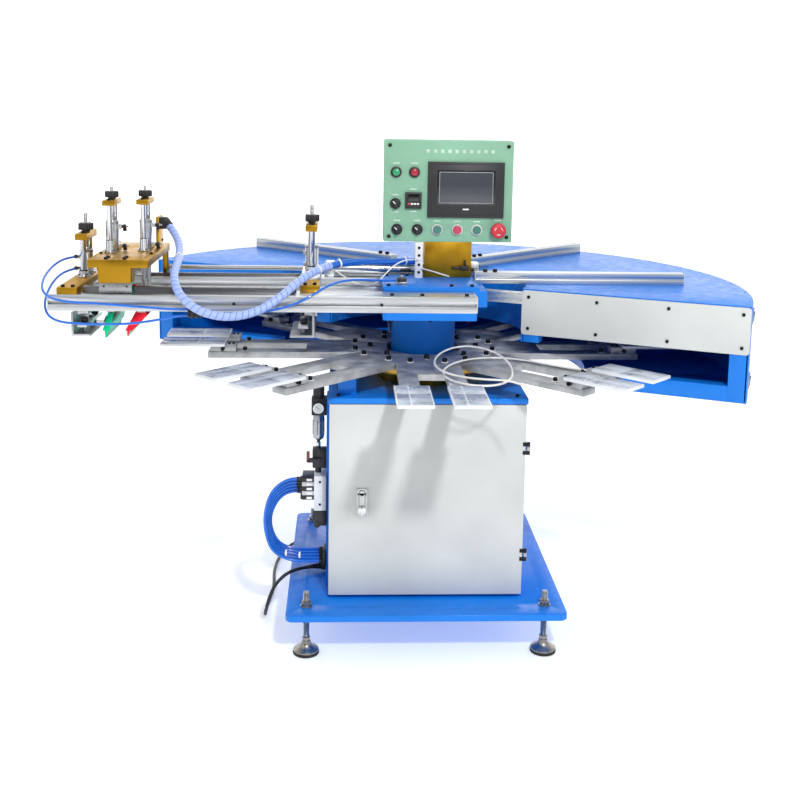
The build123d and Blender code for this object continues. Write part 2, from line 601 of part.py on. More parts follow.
with BuildPart() as carriage_saddle:
    block(-807, -728, -240, -188, 930, SADDLE_Z)
    block(-800, -735, 40, 68, 930, SADDLE_Z)
    block(-832, -687, -240, 100, SADDLE_Z, SADDLE_TOP)
    block(-702, -690, 68, 98, 905, SADDLE_Z)
    block(-706, -698, -4, 60, SADDLE_TOP, SADDLE_TOP + 80)
    for head in HEADS.values():
        for post_y in (head["mid"] - 35, head["mid"] + 35):
            upright(head["x"], post_y, SADDLE_Z - 1, SADDLE_TOP + 1, POST_R + FIT, Mode.SUBTRACT)
carriage_saddle.part.label = "carriage_saddle"
export_step(carriage_saddle.part, "parts/carriage_saddle.step")

with BuildPart() as head_cylinders:
    for head in HEADS.values():
        x, mid = head["x"], head["mid"]
        upright(x, mid, SADDLE_TOP, 1065, 16)
        upright(x, mid, 1015, 1070, 5 + FIT, Mode.SUBTRACT)
        for post_y in (mid - 35, mid + 35):
            upright(x, post_y, SADDLE_TOP, SADDLE_TOP + 4, 15)
            upright(x, post_y, SADDLE_TOP + 4, SADDLE_TOP + 31, 10)
            upright(x, post_y, SADDLE_TOP - 1, SADDLE_TOP + 32, POST_R + FIT, Mode.SUBTRACT)
        for port_z in (1000, 1050):
            block(x + 14, x + 24, mid - 6, mid + 6, port_z - 6, port_z + 6)
    block(-698, -680, -4, 26, 1036, 1066)
    with BuildSketch(Plane((-684, 15.3, 1056.7), z_dir=(20, -22, -21))):
        Circle(11)
    extrude(amount=24.6)
head_cylinders.part.label = "head_cylinders"
export_step(head_cylinders.part, "parts/head_cylinders.step")

BRIDGE_Z, BRIDGE_T = 1106, 13
BAR_Z, BAR_TOP = 835, 855
for head_name, head in HEADS.items():
    x, mid = head["x"], head["mid"]
    with BuildPart() as head_lift:
        for post_y in (mid - 35, mid + 35):
            upright(x, post_y, BAR_TOP, BRIDGE_Z, POST_R)
        upright(x, mid, 1030, BRIDGE_Z, 5)
        block(x - 15, x + 15, mid - 46, mid + 46, BRIDGE_Z, BRIDGE_Z + BRIDGE_T)
        upright(x, mid, BRIDGE_Z + BRIDGE_T, BRIDGE_Z + BRIDGE_T + 32, 4)
        block(x - 10, x + 10, -116, 86, BAR_Z, BAR_TOP)
    head_lift.part.label = f"{head_name}_lift"
    export_step(head_lift.part, f"parts/{head_name}_lift.step")

    with BuildPart() as head_knob:
        star_knob(x, mid, BRIDGE_Z + BRIDGE_T + 5, 16, 18, 4 + FIT)
    head_knob.part.label = f"{head_name}_knob"
    export_step(head_knob.part, f"parts/{head_name}_knob.step")

BLADE_TOP, BLADE_TIP = 783, 765
HOLDER_PROFILES = {
    "squeegee": [(-814, 835), (-798, 835), (-812, 783), (-830, 783)],
    "flood": [(-744, 835), (-717, 835), (-717, 822), (-755, 783), (-773, 783)],
}
BLADE_PROFILES = {
    "squeegee": [(-825, 783), (-817, 783), (-819, 765), (-823, 765)],
    "flood": [(-768, 783), (-761, 783), (-765, 768), (-767, 768)],
}
for head_name, outline in HOLDER_PROFILES.items():
    with BuildPart() as holder:
        for profile in (outline, BLADE_PROFILES[head_name]):
            with BuildSketch(Plane.XZ.offset(-86)):
                Polygon(*profile, align=None)
            extrude(amount=184)
    holder.part.label = f"{head_name}_holder"
    export_step(holder.part, f"parts/{head_name}_holder.step")

# ---------------------------------------------------------------- compressed air
AIR_Y = -150
with BuildPart() as filter_regulator:
    block(-254, -CAB, AIR_Y - 25, AIR_Y + 25, PLATE_TOP, CAB_TOP)
    block(-293, -254, AIR_Y - 18, AIR_Y + 18, 580, 625)
    upright(-275, AIR_Y, 625, 656, 15)
    upright(-275, AIR_Y, 512, 580, 15)
    along_y(-275, 602, AIR_Y - 30, AIR_Y - 18, 14)
    block(-290, -254, AIR_Y - 15, AIR_Y + 15, 440, 490)
    block(-300, -270, AIR_Y - 27, AIR_Y - 15, 460, 470)
filter_regulator.part.label = "filter_regulator"
export_step(filter_regulator.part, "parts/filter_regulator.step")

VALVES, VALVE_Z, VALVE_PITCH = 5, 366, 12
with BuildPart() as valve_manifold:
    block(-285, -254, -185, -115, 292, 425)
    for valve in range(VALVES):
        z0 = VALVE_Z + VALVE_PITCH * valve
        block(-326, -285, -180, -120, z0 - 5.5, z0 + 5.5)
    block(-262, -254, -180, -120, 180, 220)
valve_manifold.part.label = "valve_manifold"
export_step(valve_manifold.part, "parts/valve_manifold.step")

# ---------------------------------------------------------------- hoses and cables
BUNDLE_D = 20
BUNDLE = [(-670, 0, 1042), (-650, -22, 1021), (-637, -58, 1000), (-630, -106, 982), (-628, -160, 967),
          (-629, -214, 950), (-619, -260, 927), (-596, -289, 900), (-560, -302, 876), (-514, -304, 862),
          (-462, -299, 861), (-410, -290, 876), (-364, -273, 905), (-324, -238, 938), (-284, -192, 958),
          (-236, -148, 968), (-178, -108, 969), (-124, -72, 965), (-76, -38, 960), (-27.5, -6, 957)]
with BuildPart() as hose_bundle:
    hose("hose_bundle", BUNDLE, BUNDLE_D)
hose_bundle.part.label = "hose_bundle"
export_step(hose_bundle.part, "parts/hose_bundle.step")

HOSE_D = 6
UPPER_HOSE = [(-902, -35, 965), (-918, -52, 966), (-935, -92, 962), (-946, -142, 950), (-950, -196, 932),
              (-942, -242, 912), (-915, -270, 897), (-868, -276, 889), (-796, -270, 885), (-722, -273, 880),
              (-654, -269, 874), (-618, -264, 871), (-588, -258, 870)]
LOWER_HOSE = [(-902, -35, 935), (-920, -54, 934), (-938, -96, 925), (-947, -146, 905), (-948, -196, 878),
              (-934, -236, 852), (-902, -258, 838), (-850, -264, 834), (-784, -260, 832), (-716, -264, 836),
              (-656, -265, 846), (-618, -260, 854), (-588, -257, 856)]
HEAD_HOSE = [(-556, -257, 864), (-522, -262, 862), (-470, -268, 861), (-402, -267, 867), (-338, -265, 882),
             (-290, -255, 906), (-254, -230, 926), (-216, -196, 934), (-172, -164, 932), (-128, -140, 926),
             (-80, -126, 924)]
with BuildPart() as rail_hoses:
    hose("upper_hose", UPPER_HOSE, HOSE_D)
    hose("lower_hose", LOWER_HOSE, HOSE_D)
    hose("head_hose", HEAD_HOSE, HOSE_D)
rail_hoses.part.label = "rail_hoses"
export_step(rail_hoses.part, "parts/rail_hoses.step")

# Two thin white signal leads: one sags from the bundle to the cable trunk, one drops to the head.
LEAD_D = 3.5
SAGGING_LEAD = [(-240, -146, 955), (-224, -145, 944), (-202, -140, 928), (-176, -134, 914),
                (-150, -128, 909), (-126, -116, 918), (-106, -100, 938), (-84, -82, 957),
                (-58, -60, 967), (-32, -38, 967), (-16, -22.5, 963)]
SHORT_LEAD = [(-10, -22.5, 941), (0, -36, 940), (20, -46, 936), (42, -50, 930), (62, -50, 924)]
with BuildPart() as signal_leads:
    hose("sagging_lead", SAGGING_LEAD, LEAD_D)
    hose("short_lead", SHORT_LEAD, LEAD_D)
signal_leads.part.label = "signal_leads"
export_step(signal_leads.part, "parts/signal_leads.step")

with BuildPart() as hose_fittings:
    block(-588, -556, -262, -250, 850, 878)
    block(-80, -52, -140, -112, BLOCK_TOP + 10, BLOCK_TOP + 28)
hose_fittings.part.label = "hose_fittings"
export_step(hose_fittings.part, "parts/hose_fittings.step")

VALVE_HOSE_D = 8
with BuildPart() as valve_hoses:
    for tube in range(VALVES):
        y = -171 + 10.5 * tube
        z_top = VALVE_Z + VALVE_PITCH * (VALVES - 1 - tube)
        z_end = 192 + 4 * tube
        drop = z_top - z_end
        x_out = -412 + 3 * tube
        hose(f"valve_hose_{tube}", [
            (-326, y, z_top), (-351, y, z_top + 1), (x_out + 18, y, z_top - 0.14 * drop),
            (x_out, y - 1, z_top - 0.4 * drop), (x_out + 1, y + 1, z_end + 0.36 * drop),
            (x_out + 18, y, z_end + 0.12 * drop), (-350, y, z_end + 2), (-303, y, z_end - 1),
            (-262, y, z_end)], VALVE_HOSE_D)
valve_hoses.part.label = "valve_hoses"
export_step(valve_hoses.part, "parts/valve_hoses.step")

CABLE_D = 5
CABLE = [(390.4, -305.5, 735), (358, -276, 731), (300, -222, 730), (236, -172, 731), (164, -152, 731),
         (96, -178, 731), (46, -240, 730), (24, -318, 730), (38, -396, 731), (84, -448, 732),
         (142, -450, 733), (182, -402, 736), (196, -326, 742), (188, -246, 750), (158, -176, 756),
         (110, -136, 758), (60, -140, 752), (24, -188, 745), (8, -262, 741), (18, -338, 741),
         (56, -402, 742), (112, -436, 744), (166, -448, 746), (206, -472, 738), (226, -512, 730)]
with BuildPart() as sensor_cable:
    hose("sensor_cable", CABLE, CABLE_D)
sensor_cable.part.label = "sensor_cable"
export_step(sensor_cable.part, "parts/sensor_cable.step")

MAINS_D = 9
FLOOR_Z = MAINS_D / 2 + 0.3
MAINS = [(-262, -80, 140), (-288, -86, 140), (-324, -102, 142), (-360, -124, 137), (-389, -142, 112),
         (-404, -148, 75), (-412, -138, 38), (-416, -108, 14), (-418, -66, FLOOR_Z), (-412, 4, FLOOR_Z),
         (-404, 92, FLOOR_Z), (-412, 196, FLOOR_Z), (-404, 298, FLOOR_Z), (-376, 392, FLOOR_Z),
         (-318, 456, FLOOR_Z), (-244, 484, FLOOR_Z), (-180, 494, FLOOR_Z), (-140, 496, FLOOR_Z)]
with BuildPart() as mains_lead:
    hose("mains_lead", MAINS, MAINS_D)
mains_lead.part.label = "mains_lead"
export_step(mains_lead.part, "parts/mains_lead.step")

COIL_X, COIL_Y, COIL_R = -140, 546, 50
with BuildPart() as mains_coil:
    with BuildSketch(Plane.XY.offset(0.3)):
        with Locations((COIL_X, COIL_Y)):
            Circle(COIL_R + 12)
            Circle(COIL_R - 12, mode=Mode.SUBTRACT)
    extrude(amount=28)
    along_x(COIL_Y + COIL_R, FLOOR_Z + 18, COIL_X, COIL_X + 60, MAINS_D / 2)
mains_coil.part.label = "mains_coil"
export_step(mains_coil.part, "parts/mains_coil.step")

with BuildPart() as mains_plug:
    plug_x, plug_y, plug_z = COIL_X + 60, COIL_Y + COIL_R, FLOOR_Z + 18
    with Locations((plug_x + 14, plug_y, plug_z)):
        Cone(6, 11, 28, rotation=(0, 90, 0))
    along_x(plug_y, plug_z, plug_x + 28, plug_x + 62, 18)
    for pin in (-9.5, 9.5):
        along_x(plug_y + pin, plug_z, plug_x + 62, plug_x + 81, 2.4)
mains_plug.part.label = "mains_plug"
export_step(mains_plug.part, "parts/mains_plug.step")
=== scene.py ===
"""The screen printing carousel's looks: finishes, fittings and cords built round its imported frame."""
import logging
from dataclasses import dataclass
from enum import Enum
from math import atan2, cos, pi, radians, sin, tau
from typing import Callable, Iterable, Sequence

import bmesh
import bpy
from mathutils import Matrix, Vector


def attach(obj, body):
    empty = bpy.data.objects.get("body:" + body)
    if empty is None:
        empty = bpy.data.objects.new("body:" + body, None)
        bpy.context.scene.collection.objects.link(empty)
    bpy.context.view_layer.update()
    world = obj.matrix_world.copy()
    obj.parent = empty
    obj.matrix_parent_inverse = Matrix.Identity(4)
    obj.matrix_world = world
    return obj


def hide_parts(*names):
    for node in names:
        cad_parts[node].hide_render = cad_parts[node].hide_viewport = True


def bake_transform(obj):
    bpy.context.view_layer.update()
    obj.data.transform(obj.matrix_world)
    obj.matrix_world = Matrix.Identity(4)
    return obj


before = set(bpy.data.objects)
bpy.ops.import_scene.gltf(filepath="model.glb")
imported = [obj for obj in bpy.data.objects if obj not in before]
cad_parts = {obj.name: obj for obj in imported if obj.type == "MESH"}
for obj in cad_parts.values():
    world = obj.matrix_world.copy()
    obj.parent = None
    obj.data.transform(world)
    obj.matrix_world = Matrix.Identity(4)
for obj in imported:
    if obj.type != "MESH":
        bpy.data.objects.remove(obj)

log = logging.getLogger("carousel")
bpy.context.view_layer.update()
MM = 0.001
TO_METRES = Matrix.Scale(MM, 4)
UP, DOWN = (0, 0, 1), (0, 0, -1)
FRONT, BACK = (0, -1, 0), (0, 1, 0)
LEFT, RIGHT = (-1, 0, 0), (1, 0, 0)
Point = Sequence[float]


def polar(radius: float, angle: float, z: float = 0.0) -> Vector:
    """Give the point at a radius, an angle in degrees and a height, in millimetres."""
    return Vector((radius * cos(radians(angle)), radius * sin(radians(angle)), z))


def spun(angle: float, axis: str) -> Matrix:
    """Give the turn by an angle in degrees about an axis named by its letter."""
    return Matrix.Rotation(radians(angle), 4, axis)


# ------------------------------------------------------------------ finishes
class Grain(Enum):
    """The run of a metal's machining marks, as a stretch of the pattern along X, Y and Z."""

    ALONG_X = (3.0, 260.0, 260.0)
    ALONG_Y = (260.0, 3.0, 260.0)
    ALONG_Z = (260.0, 260.0, 3.0)
    EVEN = (120.0, 120.0, 120.0)
    CLOUDY = (26.0, 26.0, 26.0)


class Shader:
    """A material's node tree while it is wired."""

    def __init__(self, name: str) -> None:
        """Start a material with its principled shader."""
        self.material = bpy.data.materials.new(name)
        self.material.use_nodes = True
        self.tree = self.material.node_tree
        self.surface = self.tree.nodes["Principled BSDF"]
        self.place = self.tree.nodes.new("ShaderNodeTexCoord").outputs["Object"]

    def constant(self, **values: float) -> None:
        """Set the shader's own sockets; an underscore in a name stands for a space."""
        for name, value in values.items():
            self.surface.inputs[name.replace("_", " ")].default_value = value

    def noise(self, scale: float, detail: float = 4.0, stretch: Point = (1, 1, 1)) -> bpy.types.NodeSocket:
        """Add a noise pattern on the object's own coordinates.

        Args:
            scale: Pattern scale, per metre.
            detail: Octaves of the noise.
            stretch: Scale along X, Y and Z.

        Returns:
            The pattern's factor socket.
        """
        mapping = self.tree.nodes.new("ShaderNodeMapping")
        mapping.inputs["Scale"].default_value = stretch
        pattern = self.tree.nodes.new("ShaderNodeTexNoise")
        pattern.inputs["Scale"].default_value = scale
        pattern.inputs["Detail"].default_value = detail
        self.tree.links.new(self.place, mapping.inputs["Vector"])
        self.tree.links.new(mapping.outputs["Vector"], pattern.inputs["Vector"])
        return pattern.outputs["Fac"]

    def colours(self, factor: bpy.types.NodeSocket, first: Point, second: Point,
                start: float = 0.35, end: float = 0.65) -> None:
        """Lead a colour ramp between two colours into the base colour."""
        ramp = self.tree.nodes.new("ShaderNodeValToRGB")
        ramp.color_ramp.elements[0].position = start
        ramp.color_ramp.elements[1].position = end
        ramp.color_ramp.elements[0].color = (*first, 1)
        ramp.color_ramp.elements[1].color = (*second, 1)
        self.tree.links.new(factor, ramp.inputs["Fac"])
        self.tree.links.new(ramp.outputs["Color"], self.surface.inputs["Base Color"])

    def roughness(self, factor: bpy.types.NodeSocket, smooth: float, rough: float) -> None:
        """Lead the pattern into the roughness, between two values."""
        span = self.tree.nodes.new("ShaderNodeMapRange")
        span.inputs["From Min"].default_value = 0.3
        span.inputs["From Max"].default_value = 0.7
        span.inputs["To Min"].default_value = smooth
        span.inputs["To Max"].default_value = rough
        self.tree.links.new(factor, span.inputs["Value"])
        self.tree.links.new(span.outputs["Result"], self.surface.inputs["Roughness"])

    def bump(self, factor: bpy.types.NodeSocket, strength: float, depth: float) -> None:
        """Lead the pattern into the surface normal as a relief of that depth in metres."""
        relief = self.tree.nodes.new("ShaderNodeBump")
        relief.inputs["Strength"].default_value = strength
        relief.inputs["Distance"].default_value = depth
        self.tree.links.new(factor, relief.inputs["Height"])
        self.tree.links.new(relief.outputs["Normal"], self.surface.inputs["Normal"])


def shaded(colour: Point, amount: float) -> tuple[float, float, float]:
    """Give the colour made darker below 1, or lighter above it."""
    return tuple(min(1.0, channel * amount) for channel in colour)


@dataclass(frozen=True)
class Finish:
    """A plain moulded surface: the base of every other finish."""

    name: str
    slot: str
    colour: tuple[float, float, float]
    rough: float = 0.45

    def build(self) -> bpy.types.Material:
        """Wire the material."""
        shader = Shader(self.name)
        cloud = shader.noise(14.0, 5.0)
        shader.colours(cloud, shaded(self.colour, 0.86), shaded(self.colour, 1.08))
        shader.roughness(cloud, self.rough * 0.85, min(1.0, self.rough * 1.2))
        shader.bump(shader.noise(900.0, 3.0), 0.12, 0.0004)
        return shader.material

    def material(self) -> bpy.types.Material:
        """Give the material, made once."""
        return bpy.data.materials.get(self.name) or self.build()


@dataclass(frozen=True)
class Paint(Finish):
    """Sprayed or powder paint, with its orange peel and a clear gloss."""

    peel: float = 420.0
    gloss: float = 0.35

    def build(self) -> bpy.types.Material:
        """Wire the material."""
        shader = Shader(self.name)
        cloud = shader.noise(3.5, 6.0)
        shader.colours(cloud, shaded(self.colour, 0.90), shaded(self.colour, 1.06))
        shader.roughness(shader.noise(38.0, 6.0), self.rough * 0.8, self.rough * 1.25)
        shader.bump(shader.noise(self.peel, 2.0), 0.16, 0.0004)
        shader.constant(Coat_Weight=self.gloss, Coat_Roughness=0.12, Specular_IOR_Level=0.3)
        return shader.material


@dataclass(frozen=True)
class Metal(Finish):
    """Bare, brushed, ground or anodised metal."""

    grain: Grain = Grain.EVEN
    contrast: float = 0.12
    metallic: float = 1.0

    def build(self) -> bpy.types.Material:
        """Wire the material."""
        shader = Shader(self.name)
        marks = shader.noise(1.0, 6.0, self.grain.value)
        shader.colours(marks, shaded(self.colour, 1 - self.contrast), shaded(self.colour, 1 + self.contrast))
        shader.roughness(marks, self.rough * 0.75, min(1.0, self.rough * 1.3))
        shader.bump(marks, 0.10, 0.0003)
        shader.constant(Metallic=self.metallic)
        return shader.material


@dataclass(frozen=True)
class Clear(Finish):
    """Glass, lens and lamp caps, which let light through."""

    through: float = 0.6
    glow: float = 0.0

    def build(self) -> bpy.types.Material:
        """Wire the material."""
        shader = Shader(self.name)
        shader.colours(shader.noise(60.0, 3.0), shaded(self.colour, 0.92), shaded(self.colour, 1.05))
        shader.bump(shader.noise(300.0, 2.0), 0.04, 0.0002)
        shader.constant(Transmission_Weight=self.through, Roughness=self.rough, Coat_Weight=0.5)
        if self.glow:
            shader.surface.inputs["Emission Color"].default_value = (*self.colour, 1)
            shader.constant(Emission_Strength=self.glow)
        return shader.material


@dataclass(frozen=True)
class SpiralWrap(Finish):
    """Plastic wrap wound round blue tubes, coloured by the piece's own wrap attribute."""

    under: tuple[float, float, float] = (0.004, 0.12, 0.55)

    def build(self) -> bpy.types.Material:
        """Wire the material."""
        shader = Shader(self.name)
        wrap = shader.tree.nodes.new("ShaderNodeAttribute")
        wrap.attribute_name = "wrap"
        shader.colours(wrap.outputs["Fac"], self.under, self.colour, 0.05, 0.9)
        shader.bump(shader.noise(500.0, 3.0), 0.08, 0.0004)
        shader.constant(Roughness=self.rough, Coat_Weight=0.25, Coat_Roughness=0.2)
        return shader.material


BLUE = Paint("blue_enamel", "blue_paint", (0.003, 0.195, 0.74), 0.45, 420.0, 0.12)
OFF_WHITE = Paint("off_white_powder_coat", "white_paint", (0.60, 0.62, 0.61), 0.5, 520.0, 0.05)
MINT = Paint("mint_powder_coat", "mint_paint", (0.25, 0.48, 0.33), 0.5, 520.0, 0.05)
CASTING = Paint("painted_casting", "cast_housing", (0.05, 0.08, 0.16), 0.5, 160.0, 0.1)
GOLD = Metal("gold_anodised_block", "gold_anodised", (0.43, 0.235, 0.018), 0.40, Grain.CLOUDY, 0.08)
GOLD_DISC = Metal("gold_turned_disc", "gold_anodised", (0.60, 0.36, 0.06), 0.38, Grain.CLOUDY, 0.16)
ALUMINIUM = Metal("extruded_aluminium", "bright_aluminium", (0.62, 0.64, 0.66), 0.36, Grain.ALONG_X, 0.08)
MILLED = Metal("milled_arm_plate", "bright_aluminium", (0.40, 0.41, 0.42), 0.42, Grain.CLOUDY, 0.22, 0.6)
CYLINDER = Metal("cylinder_barrel", "bright_aluminium", (0.60, 0.61, 0.62), 0.26, Grain.ALONG_Z, 0.06)
STEEL = Metal("ground_steel", "steel", (0.42, 0.43, 0.44), 0.30, Grain.EVEN, 0.10)
CHROME = Metal("hard_chrome", "chrome", (0.66, 0.67, 0.68), 0.12, Grain.ALONG_Z, 0.03)
ZINC = Metal("zinc_plated_foot", "gunmetal", (0.34, 0.31, 0.27), 0.36, Grain.EVEN, 0.22)
GREEN_METAL = Metal("green_anodised_holder", "green_anodised", (0.01, 0.52, 0.26), 0.32, Grain.ALONG_Y, 0.10)
RED_METAL = Metal("red_anodised_holder", "red_anodised", (0.80, 0.02, 0.04), 0.32, Grain.ALONG_Y, 0.10)
PLATE = Metal("platen_plate", "platen_face", (0.74, 0.76, 0.79), 0.4, Grain.CLOUDY, 0.06, 0.2)
FILM = Metal("platen_film", "platen_face", (0.46, 0.50, 0.58), 0.3, Grain.CLOUDY, 0.2, 0.3)
BLACK = Finish("black_moulding", "black_plastic", (0.018, 0.018, 0.020), 0.42)
BLACK_STEEL = Metal("black_oxide_screw", "black_plastic", (0.03, 0.03, 0.032), 0.38, Grain.EVEN, 0.2)
GREY = Finish("grey_moulding", "grey_plastic", (0.52, 0.53, 0.54), 0.45)
PALE_GREY = Finish("pale_grey_moulding", "grey_plastic", (0.76, 0.77, 0.76), 0.4)
RUBBER = Finish("black_rubber_sole", "black_rubber", (0.014, 0.014, 0.014), 0.75)
BLADE = Finish("blade_rubber", "black_rubber", (0.20, 0.62, 0.36), 0.5)
SHEATH = Finish("black_cable_sheath", "black_rubber", (0.015, 0.015, 0.017), 0.5)
WHITE_SHEATH = Finish("white_cable_sheath", "white_cable", (0.82, 0.82, 0.79), 0.4)
WHITE = Finish("white_moulding", "white_cable", (0.86, 0.86, 0.84), 0.4)
TUBE = Clear("blue_tube_wall", "blue_tube", (0.002, 0.15, 0.70), 0.2, 0.05)
WRAP = SpiralWrap("spiral_wrap_strip", "spiral_wrap", (0.36, 0.47, 0.88), 0.34)
GREEN = Clear("green_button_lens", "green_plastic", (0.01, 0.34, 0.14), 0.3, 0.05)
RED = Clear("red_button_lens", "red_plastic", (0.42, 0.004, 0.02), 0.3, 0.05)
MUSHROOM = Finish("emergency_stop_red", "red_plastic", (0.62, 0.03, 0.05), 0.42)
SCREEN = Paint("screen_glass", "black_plastic", (0.006, 0.006, 0.008), 0.08, 20.0, 1.0)
QUARTZ = Clear("quartz_heater_tube", "quartz", (0.92, 0.88, 0.84), 0.15, 0.55)
BOWL = Clear("filter_bowl", "grey_plastic", (0.22, 0.23, 0.24), 0.2, 0.35)
# The guide rails are steel, but their near-black tone is painted shade: it stands for the shadow on the rails'
# sides, not for the steel's own colour.
GUIDE_RAIL_PAINTED_SHADE = Metal("guide_rail_painted_shade", "steel", (0.15, 0.15, 0.16), 0.3, Grain.ALONG_X, 0.06)
LABEL = Finish("label_plate", "green_plastic", (0.52, 0.68, 0.58), 0.4)
GREEN_CAP = Clear("green_button_cap", "green_plastic", (0.05, 0.22, 0.17), 0.35, 0.05)
RED_CAP = Clear("red_button_cap", "red_plastic", (0.60, 0.04, 0.10), 0.35, 0.05)
DISPLAY = Paint("screen_image", "black_plastic", (0.045, 0.05, 0.065), 0.12, 30.0, 1.0)
BRASS = Metal("brass_pin", "steel", (0.72, 0.55, 0.25), 0.3)
ELECTRIC = Finish("module_case", "electrics", (0.70, 0.71, 0.68), 0.5)
RELAY = Finish("relay_cover", "electrics", (0.10, 0.16, 0.22))
LEVER = Finish("lever_grip", "grey_plastic", (0.16, 0.05, 0.045), 0.4)


# ------------------------------------------------------------------ making pieces
def turned_to(axis: Vector) -> Matrix:
    """Give the turn that takes +Z to the axis."""
    return axis.normalized().to_track_quat("Z", "Y").to_matrix().to_4x4()


class Piece:
    """One piece of the object: shapes from bmesh operators, each with its finish.

    Sizes and places are given in millimetres and kept in metres.
    """

    BEVEL = dict(affect="EDGES", segments=2, profile=0.5, material=-1, clamp_overlap=True)

    def __init__(self, name: str, body: str, *replaced: str) -> None:
        """Start an empty piece that rides on a body and stands for CAD nodes."""
        self.name, self.body, self.replaced = name, body, replaced
        self.mesh = bmesh.new()
        self.finishes: list[Finish] = []

    def take(self, shape: bmesh.types.BMesh, finish: Finish, place: Matrix | None = None) -> None:
        """Move a finished shape into the piece."""
        if place is not None:
            bmesh.ops.transform(shape, matrix=place, verts=shape.verts)
        if finish not in self.finishes:
            self.finishes.append(finish)
        for face in shape.faces:
            face.material_index = self.finishes.index(finish)
        self.absorb(shape)

    def absorb(self, shape: bmesh.types.BMesh) -> None:
        """Add a shape whose faces have their finishes already, and free it."""
        scratch = bpy.data.meshes.new("scratch")
        shape.to_mesh(scratch)
        shape.free()
        self.mesh.from_mesh(scratch)
        bpy.data.meshes.remove(scratch)

    def box(self, corner: Point, far: Point, finish: Finish, bevel: float = 0.6,
            turn: Matrix | None = None) -> None:
        """Add a box with bevelled edges.

        Args:
            corner: Lowest corner.
            far: Highest corner.
            finish: Its finish.
            bevel: Width of the bevel.
            turn: A turn or place applied after the box is made, in millimetres.
        """
        start, end = Vector(corner), Vector(far)
        shape = bmesh.new()
        bmesh.ops.create_cube(shape, size=1.0)
        size = Matrix.Diagonal((*(end - start), 1))
        bmesh.ops.transform(shape, matrix=Matrix.Translation((start + end) / 2) @ size, verts=shape.verts)
        if bevel:
            bmesh.ops.bevel(shape, geom=shape.edges[:], offset=bevel, **self.BEVEL)
        self.take(shape, finish, TO_METRES @ (turn or Matrix.Identity(4)))

    def rod(self, start: Point, end: Point, radius: float, finish: Finish, tip: float | None = None,
            sides: int = 32, bevel: float = 0.4) -> None:
        """Add a cylinder, cone or prism between two points, with bevelled ends."""
        first, last = Vector(start), Vector(end)
        shape = bmesh.new()
        bmesh.ops.create_cone(shape, cap_ends=True, segments=sides, radius1=radius,
                              radius2=radius if tip is None else tip, depth=(last - first).length)
        if bevel:
            rims = [edge for edge in shape.edges if any(len(face.verts) > 4 for face in edge.link_faces)]
            bmesh.ops.bevel(shape, geom=rims, offset=bevel, **self.BEVEL)
        place = Matrix.Translation((first + last) / 2) @ turned_to(last - first)
        self.take(shape, finish, TO_METRES @ place)

    def lathe(self, base: Point, axis: Point, outline: Iterable[tuple[float, float]], finish: Finish,
              steps: int = 40) -> None:
        """Spin an outline of (radius, height) points about an axis."""
        shape = bmesh.new()
        verts = [shape.verts.new((radius, 0, height)) for radius, height in outline]
        edges = [shape.edges.new(pair) for pair in zip(verts, verts[1:])]
        bmesh.ops.spin(shape, geom=verts + edges, cent=(0, 0, 0), axis=UP, angle=tau,
                       steps=steps, use_merge=True)
        bmesh.ops.remove_doubles(shape, verts=shape.verts, dist=0.001)
        holes = [edge for edge in shape.edges if edge.is_boundary]
        if holes:
            bmesh.ops.holes_fill(shape, edges=holes)
        bmesh.ops.recalc_face_normals(shape, faces=shape.faces)
        self.take(shape, finish, TO_METRES @ Matrix.Translation(base) @ turned_to(Vector(axis)))

    def thread(self, start: Point, end: Point, radius: float, finish: Finish, pitch: float = 1.8) -> None:
        """Add a threaded rod between two points."""
        first, last = Vector(start), Vector(end)
        turns = max(2, round((last - first).length / pitch))
        step = (last - first).length / turns
        outline = [(0, 0)]
        for turn in range(turns):
            outline += [(radius * 0.86, turn * step), (radius, (turn + 0.5) * step)]
        outline += [(radius * 0.86, turns * step), (0, turns * step)]
        self.lathe(start, last - first, outline, finish, 24)

    def cap_screw(self, seat: Point, axis: Point, radius: float = 4.5, height: float = 5.0,
                  finish: Finish = BLACK_STEEL, washer: Finish | None = None) -> None:
        """Add a socket cap screw, head outwards along the axis, with its washer where it has one."""
        foot, way = Vector(seat), Vector(axis).normalized()
        if washer:
            self.rod(foot, foot + way, radius * 1.5, washer, bevel=0.2)
            foot += way
        shape = bmesh.new()
        bmesh.ops.create_cone(shape, cap_ends=True, segments=24, radius1=radius, radius2=radius, depth=height)
        top = max(shape.faces, key=lambda face: face.calc_center_median().z)
        bmesh.ops.inset_region(shape, faces=[top], thickness=radius * 0.14)
        bmesh.ops.inset_region(shape, faces=[top], thickness=radius * 0.34)
        bmesh.ops.inset_region(shape, faces=[top], thickness=radius * 0.02, depth=-height * 0.5)
        place = Matrix.Translation(foot + way * height / 2) @ turned_to(way)
        self.take(shape, finish, TO_METRES @ place)

    def nut(self, base: Point, axis: Point, across: float, height: float, finish: Finish) -> None:
        """Add a hexagon nut standing on its base point."""
        foot, way = Vector(base), Vector(axis).normalized()
        self.rod(foot, foot + way * height, across * 0.577, finish, sides=6, bevel=across * 0.05)

